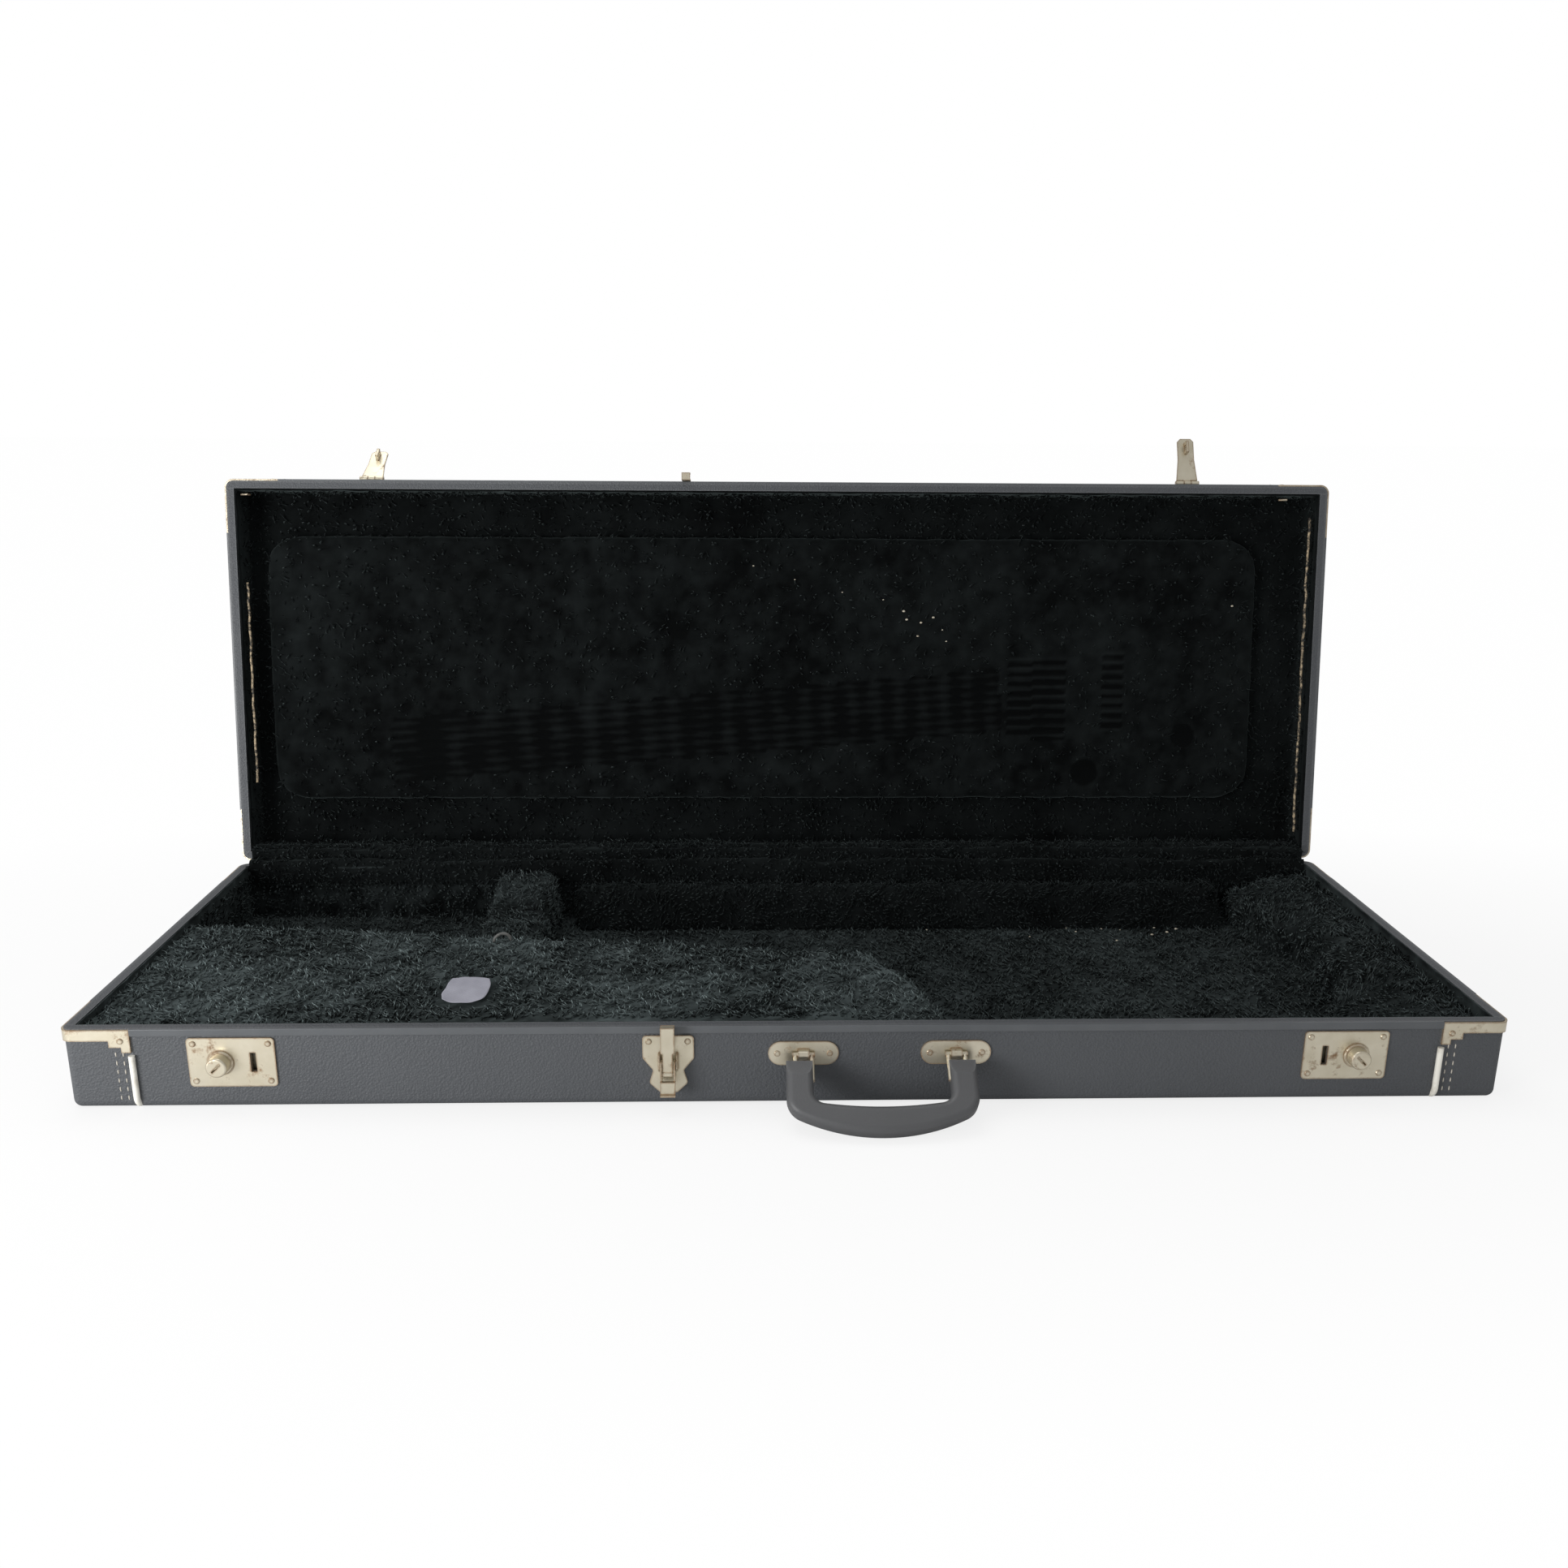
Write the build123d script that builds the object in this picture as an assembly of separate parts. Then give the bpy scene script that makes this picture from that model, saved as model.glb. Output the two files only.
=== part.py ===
"""Hard-shell electric guitar case: a plywood tray and lid under vinyl, plush lined, with plated hardware.

X runs along the case, -Y is the front with the handle, +Z is up. The origin is the middle of the underside.
The lid and everything on it is laid out closed, on top of the base, and then swung open about its hinge.
"""

import math
import os

from build123d import *

os.makedirs("parts", exist_ok=True)

# Case
LENGTH = 1040.0
DEPTH = 358.0
BASE_HEIGHT = 63.0
LID_HEIGHT = 44.0
LID_GAP = 0.4
LID_OPENING = 98.4
EDGE_RADIUS = 6.5

# Wall: board, vinyl outside, lining inside
BOARD = 6.0
VINYL = 1.0
LINING = 1.5

# Stitched end caps, the piping in their seams and the beading round the rims
CAP_LENGTH = 48.0
PIPING_RADIUS = 2.2
PIPING_STANDOFF = 1.5
PIPING_BEND = 8.0
PIPING_CLEARANCE = 0.05
BEAD_HEIGHT = 5.5
BEAD_PROUD = 1.6
BEAD_ROUND = 0.6

# Corner clips
CLIP_LENGTH = 48.0
CLIP_HEIGHT = 8.4
CLIP_PROUD = 1.6
CLIP_TOP_SETBACK = 0.6
TAB_WIDTH = 13.5
TAB_DROP = 18.0
TAB_STEP_WIDTH = 5.0
TAB_STEP_DROP = 14.0
CLIP_RIVET_DROP = 9.0

# Rivets: one head and shank for all the small hardware
RIVET_HEAD_RADIUS = 2.3
RIVET_HEAD_HEIGHT = 0.9
RIVET_SHANK_RADIUS = 1.2
RIVET_GRIP = 4.0
RIVET_CHAMFER = 0.54

# Plated sheet metal
SHEET = 1.2

# Key locks
LOCK_CENTRE_X = 402.0
LOCK_CENTRE_Z = 36.9
LOCK_PLATE_WIDTH = 62.0
LOCK_PLATE_HEIGHT = 38.0
LOCK_PLATE_CORNER = 3.0
LOCK_RIVET_INSET = 4.5
CYLINDER_OFFSET = 8.0
CYLINDER_RADIUS = 7.45
CYLINDER_PROUD = 11.0
CYLINDER_CLEARANCE = 0.05
COLLAR_RADIUS = 9.25
COLLAR_HEIGHT = 2.0
COLLAR_CHAMFER = 0.7
KEYWAY_LENGTH = 9.0
KEYWAY_WIDTH = 1.3
KEYWAY_DEPTH = 3.0
KEYWAY_ANGLE = 45.0
CYLINDER_ROUND = 1.5
CAM_LENGTH = 11.0
CAM_WIDTH = 4.0
CAM_THICKNESS = 1.2
CAM_STANDOFF = 0.5
SLOT_OFFSET = 15.2
SLOT_WIDTH = 4.2
SLOT_HEIGHT = 15.0
LOCK_CASE_WIDTH = 46.0
LOCK_CASE_HEIGHT = 28.0
LOCK_CASE_WALL = 0.9
LOCK_CASE_DEPTH = 5.6

# Hasps on the lid
HASP_LEAF_WIDTH = 20.0
HASP_LEAF_END = 27.0
HASP_LEAF_SHEET = 1.4
HASP_AXIS_OUT = 3.0
HASP_LEAF_OUT = 2.6
HASP_PIN_RADIUS = 1.1
HASP_KNUCKLE_RADIUS = 2.4
HASP_KNUCKLE_HALF = 3.2
HASP_KNUCKLE_GAP = 0.3
HASP_BEAD_GAP = 0.2
HASP_LEAF_GAP = 0.5
HASP_WAIST = 15.6
HASP_TIP_WIDTH = 10.0
HASP_TIP_RISE = 3.0
HASP_PLATE_WIDTH = 22.0
HASP_PLATE_HEIGHT = 13.0
HASP_RIVET_SPREAD = 14.0
STAPLE_WIDTH = 2.6
STAPLE_HEIGHT = 11.0
STAPLE_REACH = 5.0
STAPLE_WINDOW = 5.0
LEFT_HASP_FLIP = 140.0
RIGHT_HASP_FLIP = 105.0

# Draw latch
LATCH_X = -91.4
LATCH_TOP = 55.7
LATCH_WIDTH = 37.0
LATCH_SHOULDER_Z = 38.0
LATCH_NECK_Z = 28.5
LATCH_NECK_WIDTH = 22.0
LATCH_TAIL_WIDTH = 28.0
LATCH_FOOT_WIDTH = 12.6
LATCH_TAIL_Z = 18.5
LATCH_BOTTOM = 10.9
LATCH_ROUND = 3.0
LEVER_AXIS_Z = 36.0
LEVER_AXIS_OUT = 5.5
LEVER_PIN_RADIUS = 1.25
CLAW_PIN_Z = 30.0
CLAW_PIN_OUT = 10.25
CLAW_PIN_RADIUS = 0.9
PIN_CLEARANCE = 0.05
EAR_INNER = 5.8
EAR_SHEET = 1.2
EAR_HEIGHT = 13.0
EAR_OUT = 8.2
EAR_CHAMFER = 3.0
CHEEK_OUTER = 5.4
CHEEK_SHEET = 1.2
CHEEK_INNER_OUT = 3.0
CHEEK_OUTER_OUT = 12.4
CHEEK_TOP = 39.0
CHEEK_BOTTOM = 21.0
CHEEK_CHAMFER = 2.5
LEVER_COVER_TOP = 25.0
LEVER_TIP = 15.5
LEVER_LIP = 3.0
CLAW_SHEET = 1.5
CLAW_WIDTH = 7.0
CLAW_HEAD_WIDTH = 10.0
CLAW_HEAD_Z = 46.0
CLAW_BARREL_RADIUS = 1.9
CLAW_TOP = 66.0
CLAW_TIP_OUT = 5.6
CLAW_TIP_DROP = 5.5
CATCH_WIDTH = 32.0
CATCH_HEIGHT = 12.5
CATCH_BEAD_GAP = 0.6
CATCH_ROOT = 2.5
CATCH_CORNER = 2.5
TONGUE_WIDTH = 8.0
TONGUE_OUT = 2.2
TONGUE_SHEET = 1.4
TONGUE_BOTTOM = 56.0
TONGUE_LIP_OUT = 9.1
TONGUE_LIP_TOP = 63.8

# Handle
HANDLE_CENTRE_X = 61.1
HANDLE_PITCH = 110.4
HANDLE_AXIS_Z = 41.2
HANDLE_AXIS_OUT = 3.35
BRACKET_LENGTH = 51.0
BRACKET_WIDTH = 18.5
BRACKET_RIVET_SPREAD = 38.0
BRIDGE_HALF = 4.0
BRIDGE_WALL = 1.5
LOOP_RADIUS = 1.9
LOOP_CLEARANCE = 0.05
LOOP_HALF = 6.0
LOOP_END = 0.5
PRONG_RADIUS = 1.6
PRONG_END = 21.0
HANDLE_WIDTH = 136.0
HANDLE_LEG = 19.0
HANDLE_START = 6.5
HANDLE_SIDE_END = 44.0
HANDLE_DROP = 62.0
HANDLE_CORNER = 16.0
GRIP_INNER_SIDE = 38.0
GRIP_INNER_DROP = 42.0
GRIP_INNER_CORNER = 9.0
HANDLE_THICKNESS = 15.0
HANDLE_ROUND = 4.5
HANDLE_TOP_THICKNESS = 7.0
HANDLE_TAPER_END = 18.0
HANDLE_FLOOR_GAP = 0.1

# Hinges and feet on the back
HINGE_POSITIONS = (-380.0, 0.0, 380.0)
HINGE_WIDTH = 44.0
HINGE_LEAF = 22.0
HINGE_OUT = 3.4
HINGE_KNUCKLE_RADIUS = 2.8
HINGE_PIN_RADIUS = 1.5
HINGE_KNUCKLE_GAP = 0.3
HINGE_KNUCKLES = 5
HINGE_LEAF_GAP = 0.4
HINGE_BEAD_GAP = 1.0
HINGE_RIVET_DROP = 14.0
HINGE_ROOT = 2.0
HINGE_RIVET_SPREAD = 28.0
FOOT_POSITIONS = (-440.0, -150.0, 150.0, 440.0)
FOOT_RADIUS = 9.0
FOOT_HEIGHT = 6.0
FOOT_CROWN = 4.0
FOOT_Z = 22.0

# Padding: distances back are measured from the inside of the front wall
PAD_CLEARANCE = 0.3
FLOOR_PAD = 3.0
BLOCK_LEFT_BACK = 203.0
BLOCK_RIGHT_BACK = 133.0
BLOCK_RIGHT_X = 62.0
BLOCK_END_X = 112.0
BLOCK_TOP = 58.0
BLOCK_ROUND = 12.0
BLOCK_CUTAWAY = 18.0
BLOCK_CUTAWAY_BACK = 80.0
POCKET_LEFT_X = -275.0
POCKET_RIGHT_X = 40.0
POCKET_WALL = 8.0
POCKET_FLOOR = 3.0
POCKET_LID_LAP = 7.0
POCKET_LID_PAST = 1.0
POCKET_LID = 4.0
POCKET_LID_GAP = 0.5
POCKET_LID_LIFT = 0.3
POCKET_PIN_END = 6.0
POCKET_PIN_RADIUS = 1.2
PULL_LOOP_RADIUS = 7.0
PULL_CORD_RADIUS = 1.3
PULL_LOOP_TURN = 20.0
PULL_LOOP_INSET = 43.0
NECK_REST_X = -244.0
NECK_REST_WIDTH = 47.0
NECK_REST_HEIGHT = 34.0
NECK_SADDLE_WIDTH = 52.0
NECK_SADDLE_DEPTH = 8.0
NECK_REST_BASE = 62.0
BACK_PAD_LEFT_X = -195.0
BACK_PAD_RIGHT_X = 420.0
BACK_PAD_BOTTOM = 42.0
BACK_PAD_TOP = 22.0
BACK_PAD_HEIGHT = 36.0
END_PAD_INSIDE = 78.0
END_PAD_WAIST = 50.0
END_PAD_HEIGHT = 42.0
END_PAD_SPLIT = 123.0
END_PAD_FLARE = 40.0
END_PAD_LIP = 23.0
END_PAD_BEVEL = 14.0
FRONT_PAD_LEFT_X = 150.0
FRONT_PAD_BOTTOM = 70.0
FRONT_PAD_TOP = 26.0
FRONT_PAD_HEIGHT = 34.0
GUSSET_THICKNESS = 5.0
GUSSET_DROP = 13.0
LABEL_X = -248.0
LABEL_BACK = 58.0
LABEL_LENGTH = 38.0
LABEL_WIDTH = 50.0
LABEL_SHEET = 0.4
LID_PAD_LEFT_X = -495.0
LID_PAD_RIGHT_X = 465.0
LID_PAD_HINGE_MARGIN = 46.0
LID_PAD_FRONT_MARGIN = 40.0
LID_PAD_CORNER = 32.0
LID_PAD_THICKNESS = 12.0
LID_PAD_ROUND = 5.0

# Planes and lines that the pieces share
FRONT = -DEPTH / 2
BACK = DEPTH / 2
END = LENGTH / 2
WALL = VINYL + BOARD
INSIDE_END = END - WALL - LINING
INSIDE_FRONT = FRONT + WALL + LINING
INSIDE_BACK = BACK - WALL - LINING
INSIDE_FLOOR = WALL + LINING
PAD_FLOOR = INSIDE_FLOOR + FLOOR_PAD
PAD_END = INSIDE_END - PAD_CLEARANCE
SEAM_X = END - CAP_LENGTH
LID_RIM = BASE_HEIGHT + LID_GAP
CASE_TOP = LID_RIM + LID_HEIGHT
HINGE_Z = BASE_HEIGHT + LID_GAP / 2
HINGE_LINE = Axis((0, BACK + HINGE_OUT, HINGE_Z), (1, 0, 0))
HASP_AXIS_Z = LID_RIM + BEAD_HEIGHT + HASP_KNUCKLE_RADIUS + HASP_BEAD_GAP
HASP_LINE = Axis((0, FRONT - HASP_AXIS_OUT, HASP_AXIS_Z), (1, 0, 0))


def block(x0, x1, y0, y1, z0, z1):
    """A box between two corners."""
    return Pos((x0 + x1) / 2, (y0 + y1) / 2, (z0 + z1) / 2) * Box(x1 - x0, y1 - y0, z1 - z0)


def front_block(x0, x1, out0, out1, z0, z1):
    """A box on the front face, between two distances out from it."""
    return block(x0, x1, FRONT - out1, FRONT - out0, z0, z1)


def rod_x(x0, x1, y, z, radius):
    """A round bar along X."""
    return Pos((x0 + x1) / 2, y, z) * Rot(0, 90, 0) * Cylinder(radius, x1 - x0)


def rod_out(x, z, out0, out1, radius):
    """A round bar square to the front face, between two distances out from it."""
    return Pos(x, FRONT - (out0 + out1) / 2, z) * Rot(90, 0, 0) * Cylinder(radius, out1 - out0)


def joined(pieces):
    """One shape from pieces that touch or overlap."""
    whole = pieces[0]
    for piece in pieces[1:]:
        whole = whole + piece
    return whole


def less(shape, tools):
    """A shape with each tool taken out of it."""
    for tool in tools:
        shape = shape - tool
    return shape


def write(name, *shapes):
    """One STEP file with every solid of a node."""
    solids = [solid for shape in shapes for solid in shape.solids()]
    export_step(solids[0] if len(solids) == 1 else Compound(solids), f"parts/{name}.step")


def opened(shape):
    """A piece of the closed lid, swung to where the open lid holds it."""
    return shape.rotate(HINGE_LINE, -LID_OPENING)


def to_lid(shape):
    """A piece of a tray with its rim up, turned over and put where the open lid holds it."""
    return opened(shape.mirror(Plane.XY).translate((0, 0, CASE_TOP)))


# Tray: base and lid are the same rounded tray of different height


def rounded_tray(height, inset):
    """The tray's outside, drawn in by an inset, with its long edges and its floor's edges rounded."""
    body = block(-END + inset, END - inset, FRONT + inset, BACK - inset, inset, height)
    edges = body.edges().filter_by(Axis.Z) + body.edges().group_by(Axis.Z)[0]
    return fillet(edges, EDGE_RADIUS - inset)


def tray_boards(height):
    """Front, back, two end boards and the panel between them."""
    solid = rounded_tray(height, VINYL)
    front = solid & block(-END, END, FRONT, FRONT + WALL, 0, height)
    back = solid & block(-END, END, BACK - WALL, BACK, 0, height)
    left = solid & block(-END, -END + WALL, FRONT + WALL, BACK - WALL, 0, height)
    right = solid & block(END - WALL, END, FRONT + WALL, BACK - WALL, 0, height)
    panel = block(-END + WALL, END - WALL, FRONT + WALL, BACK - WALL, VINYL, WALL)
    return front, back, left, right, panel


def tray_vinyl(height):
    """The vinyl round the boards: the middle band and the cap over each end."""
    skin = rounded_tray(height, 0) - rounded_tray(height, VINYL)
    middle = skin & block(-SEAM_X, SEAM_X, FRONT, BACK, 0, height)
    left = skin & block(-END, -SEAM_X, FRONT, BACK, 0, height)
    right = skin & block(SEAM_X, END, FRONT, BACK, 0, height)
    return middle, left, right


def piping_path(height):
    """Down the front, under the tray and up the back, from just below the clips' tabs."""
    top = height - TAB_DROP - PIPING_RADIUS
    out = DEPTH / 2 + PIPING_STANDOFF
    points = [(0, -out, top), (0, -out, PIPING_RADIUS), (0, out, PIPING_RADIUS), (0, out, top)]
    return FilletPolyline(*points, radius=PIPING_BEND)


def piping(height, radius):
    """The cord in each end's seam."""
    path = piping_path(height)
    cord = sweep(Plane(origin=path @ 0, z_dir=path % 0) * Circle(radius), path=path)
    return [Pos(side * SEAM_X, 0, 0) * cord for side in (-1, 1)]


def rim_bead(height):
    """A rounded strip round the outside of the rim, left out at the clips and, at the back, at the hinges."""
    low = height - BEAD_HEIGHT
    side = END - CLIP_LENGTH

    def strip(x0, x1, y0, y1):
        bar = block(x0, x1, y0, y1, low, height)
        long_way = Axis.X if x1 - x0 > y1 - y0 else Axis.Y
        edges = bar.edges().filter_by(long_way)
        across = Axis.Y if long_way == Axis.X else Axis.X
        outer = edges.group_by(across)[0 if (y0 < 0 if long_way == Axis.X else x0 < 0) else -1]
        return fillet(outer, BEAD_ROUND)

    strips = [strip(-side, side, FRONT - BEAD_PROUD, FRONT)]
    stops = [-side]
    for x in HINGE_POSITIONS:
        reach = HINGE_WIDTH / 2 + HINGE_BEAD_GAP
        stops += [x - reach, x + reach]
    stops.append(side)
    strips += [strip(a, b, BACK, BACK + BEAD_PROUD) for a, b in zip(stops[::2], stops[1::2])]
    reach = DEPTH / 2 - CLIP_LENGTH
    strips.append(strip(-END - BEAD_PROUD, -END, -reach, reach))
    strips.append(strip(END, END + BEAD_PROUD, -reach, reach))
    return strips


def corner_clips(height):
    """A plated clip round each corner of the rim, with a stepped tab at the end of each leg."""
    top = height - CLIP_TOP_SETBACK
    outside = block(-END - CLIP_PROUD, END + CLIP_PROUD, FRONT - CLIP_PROUD, BACK + CLIP_PROUD, 0, top)
    outside = fillet(outside.edges().filter_by(Axis.Z), EDGE_RADIUS + CLIP_PROUD)
    inside = block(-END, END, FRONT, BACK, -1, height + 1)
    inside = fillet(inside.edges().filter_by(Axis.Z), EDGE_RADIUS)
    ring = outside - inside
    steps = ((0, CLIP_TOP_SETBACK + CLIP_HEIGHT), (CLIP_LENGTH - TAB_WIDTH, TAB_STEP_DROP),
             (CLIP_LENGTH - TAB_STEP_WIDTH, TAB_DROP))
    clips = []
    for sx in (-1, 1):
        for sy in (-1, 1):
            legs = [leg(sx, sy, near, height - drop, top) for near, drop in steps for leg in (long_leg, short_leg)]
            clips.append(joined([ring & stretch for stretch in legs]))
    return clips


def long_leg(sx, sy, near, low, high):
    """The stretch of the front or back wall from a distance past a corner to a clip's end."""
    x = sorted((sx * (END + CLIP_PROUD - near), sx * (END - CLIP_LENGTH)))
    y = sorted((sy * (DEPTH / 2 + CLIP_PROUD), sy * (DEPTH / 2 - EDGE_RADIUS)))
    return block(*x, *y, low, high)


def short_leg(sx, sy, near, low, high):
    """The stretch of an end wall from a distance past a corner to a clip's end."""
    x = sorted((sx * (END + CLIP_PROUD), sx * (END - EDGE_RADIUS)))
    y = sorted((sy * (DEPTH / 2 + CLIP_PROUD - near), sy * (DEPTH / 2 - CLIP_LENGTH)))
    return block(*x, *y, low, high)


def rivet(out):
    """A rivet with its head outwards along -Y, seated at y = -out."""
    head = Rot(90, 0, 0) * Cylinder(RIVET_HEAD_RADIUS, RIVET_HEAD_HEIGHT)
    head = chamfer(head.edges().group_by(Axis.Y)[0], RIVET_CHAMFER)
    shank = Rot(90, 0, 0) * Cylinder(RIVET_SHANK_RADIUS, RIVET_GRIP)
    return Pos(0, -out - RIVET_HEAD_HEIGHT / 2, 0) * head + Pos(0, RIVET_GRIP / 2 - out, 0) * shank


def front_rivets(places, out):
    """Rivets through the front face at each (x, z)."""
    return [Pos(x, FRONT, z) * rivet(out) for x, z in places]


def back_rivets(places, out):
    """Rivets through the back face at each (x, z)."""
    return [Pos(x, BACK, z) * Rot(0, 0, 180) * rivet(out) for x, z in places]


def clip_rivets(height):
    """One rivet in each tab of each corner clip."""
    z = height - CLIP_RIVET_DROP
    x = END - CLIP_LENGTH + TAB_WIDTH / 2
    y = DEPTH / 2 - CLIP_LENGTH + TAB_WIDTH / 2
    heads = front_rivets([(-x, z), (x, z)], CLIP_PROUD) + back_rivets([(-x, z), (x, z)], CLIP_PROUD)
    for side in (-1, 1):
        heads += [Pos(side * END, place, z) * Rot(0, 0, 90 * side) * rivet(CLIP_PROUD) for place in (-y, y)]
    return heads


def tray_lining(height):
    """The plush cloth glued to the walls and floor."""
    outer = block(-END + WALL, END - WALL, FRONT + WALL, BACK - WALL, WALL, height)
    return outer - block(-INSIDE_END, INSIDE_END, INSIDE_FRONT, INSIDE_BACK, INSIDE_FLOOR, height)


# Hardware on the front: each list of rivets is also what its holes are cut with


def lock_places(side):
    """Plate centre, cylinder and slot positions along X for one lock."""
    centre = side * LOCK_CENTRE_X
    return centre, centre + side * CYLINDER_OFFSET, centre - side * SLOT_OFFSET


def lock_rivets(side):
    """Four rivets in the corners of the plate."""
    centre = lock_places(side)[0]
    half_x = LOCK_PLATE_WIDTH / 2 - LOCK_RIVET_INSET
    half_z = LOCK_PLATE_HEIGHT / 2 - LOCK_RIVET_INSET
    places = [(centre + sx * half_x, LOCK_CENTRE_Z + sz * half_z) for sx in (-1, 1) for sz in (-1, 1)]
    return front_rivets(places, SHEET)


def lock_opening(side):
    """The key cylinder's hole and the staple's slot, right through plate, vinyl and case."""
    _, cylinder, slot = lock_places(side)
    inner = -VINYL - LOCK_CASE_WALL
    bore = rod_out(cylinder, LOCK_CENTRE_Z, inner, CYLINDER_PROUD, CYLINDER_RADIUS + CYLINDER_CLEARANCE)
    half_width, half_height = SLOT_WIDTH / 2, SLOT_HEIGHT / 2
    low, high = LOCK_CENTRE_Z - half_height, LOCK_CENTRE_Z + half_height
    return bore, front_block(slot - half_width, slot + half_width, inner, SHEET, low, high)


def lock_plate(side):
    """The plate on the vinyl, with a raised collar round the cylinder."""
    centre, cylinder, _ = lock_places(side)
    half_x, half_z = LOCK_PLATE_WIDTH / 2, LOCK_PLATE_HEIGHT / 2
    plate = front_block(centre - half_x, centre + half_x, 0, SHEET, LOCK_CENTRE_Z - half_z, LOCK_CENTRE_Z + half_z)
    plate = fillet(plate.edges().filter_by(Axis.Y), LOCK_PLATE_CORNER)
    collar = rod_out(cylinder, LOCK_CENTRE_Z, 0, SHEET + COLLAR_HEIGHT, COLLAR_RADIUS)
    collar = chamfer(collar.edges().group_by(Axis.Y)[0], COLLAR_CHAMFER)
    return less(plate + collar, [*lock_opening(side), *lock_rivets(side)])


def lock_case_block(side, inset):
    """The pocket in the board for the lock's works, drawn in by a wall."""
    centre = lock_places(side)[0]
    half_x, half_z = LOCK_CASE_WIDTH / 2 - inset, LOCK_CASE_HEIGHT / 2 - inset
    low, high = LOCK_CENTRE_Z - half_z, LOCK_CENTRE_Z + half_z
    return front_block(centre - half_x, centre + half_x, -VINYL - LOCK_CASE_DEPTH + inset, -VINYL - inset, low, high)


def lock_case(side):
    """A pressed box behind the plate: the cylinder's cam and the staple's tongue work in it."""
    return less(lock_case_block(side, 0), [lock_case_block(side, LOCK_CASE_WALL), *lock_opening(side)])


def lock_cylinder(side):
    """The turning plug with its keyway, and the cam on its inner end."""
    x = lock_places(side)[1]
    plug_end = -VINYL - LOCK_CASE_WALL - CAM_STANDOFF
    plug = rod_out(x, LOCK_CENTRE_Z, plug_end, CYLINDER_PROUD, CYLINDER_RADIUS)
    plug = fillet(plug.edges().group_by(Axis.Y)[0], CYLINDER_ROUND)
    keyway = front_block(
        x - KEYWAY_LENGTH / 2, x + KEYWAY_LENGTH / 2, CYLINDER_PROUD - KEYWAY_DEPTH, CYLINDER_PROUD + 1,
        LOCK_CENTRE_Z - KEYWAY_WIDTH / 2, LOCK_CENTRE_Z + KEYWAY_WIDTH / 2,
    )
    turned = keyway.rotate(Axis((x, 0, LOCK_CENTRE_Z), (0, 1, 0)), KEYWAY_ANGLE * side)
    cam = front_block(
        x - CAM_WIDTH / 2, x + CAM_WIDTH / 2, plug_end - CAM_THICKNESS, plug_end, LOCK_CENTRE_Z - CAM_LENGTH,
        LOCK_CENTRE_Z + CAM_WIDTH / 2,
    )
    return plug - turned + cam


def hasp_plate(side):
    """The plate riveted to the lid's front, with its two knuckles."""
    x = lock_places(side)[2]
    half = HASP_PLATE_WIDTH / 2
    foot = HASP_AXIS_Z + HASP_KNUCKLE_RADIUS + HASP_KNUCKLE_GAP
    plate = front_block(x - half, x + half, 0, SHEET, foot, HASP_AXIS_Z + HASP_PLATE_HEIGHT)
    root = HASP_AXIS_OUT - HASP_KNUCKLE_RADIUS / 2
    inner = HASP_KNUCKLE_HALF + HASP_KNUCKLE_GAP
    knuckles = []
    for a, b in ((x - half, x - inner), (x + inner, x + half)):
        knuckles.append(rod_x(a, b, FRONT - HASP_AXIS_OUT, HASP_AXIS_Z, HASP_KNUCKLE_RADIUS))
        knuckles.append(front_block(a, b, 0, root, HASP_AXIS_Z, foot + SHEET))
    bore = rod_x(x - half, x + half, FRONT - HASP_AXIS_OUT, HASP_AXIS_Z, HASP_PIN_RADIUS)
    return less(joined([plate, *knuckles]), [bore, *hasp_rivets(side)])


def hasp_rivets(side):
    """Two rivets above the knuckles."""
    x = lock_places(side)[2]
    z = HASP_AXIS_Z + HASP_PLATE_HEIGHT - LOCK_RIVET_INSET
    return front_rivets([(x - HASP_RIVET_SPREAD / 2, z), (x + HASP_RIVET_SPREAD / 2, z)], SHEET)


def hasp_pin(side):
    """The pin through plate and hasp."""
    x = lock_places(side)[2]
    half = HASP_PLATE_WIDTH / 2
    return rod_x(x - half, x + half, FRONT - HASP_AXIS_OUT, HASP_AXIS_Z, HASP_PIN_RADIUS)


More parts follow.
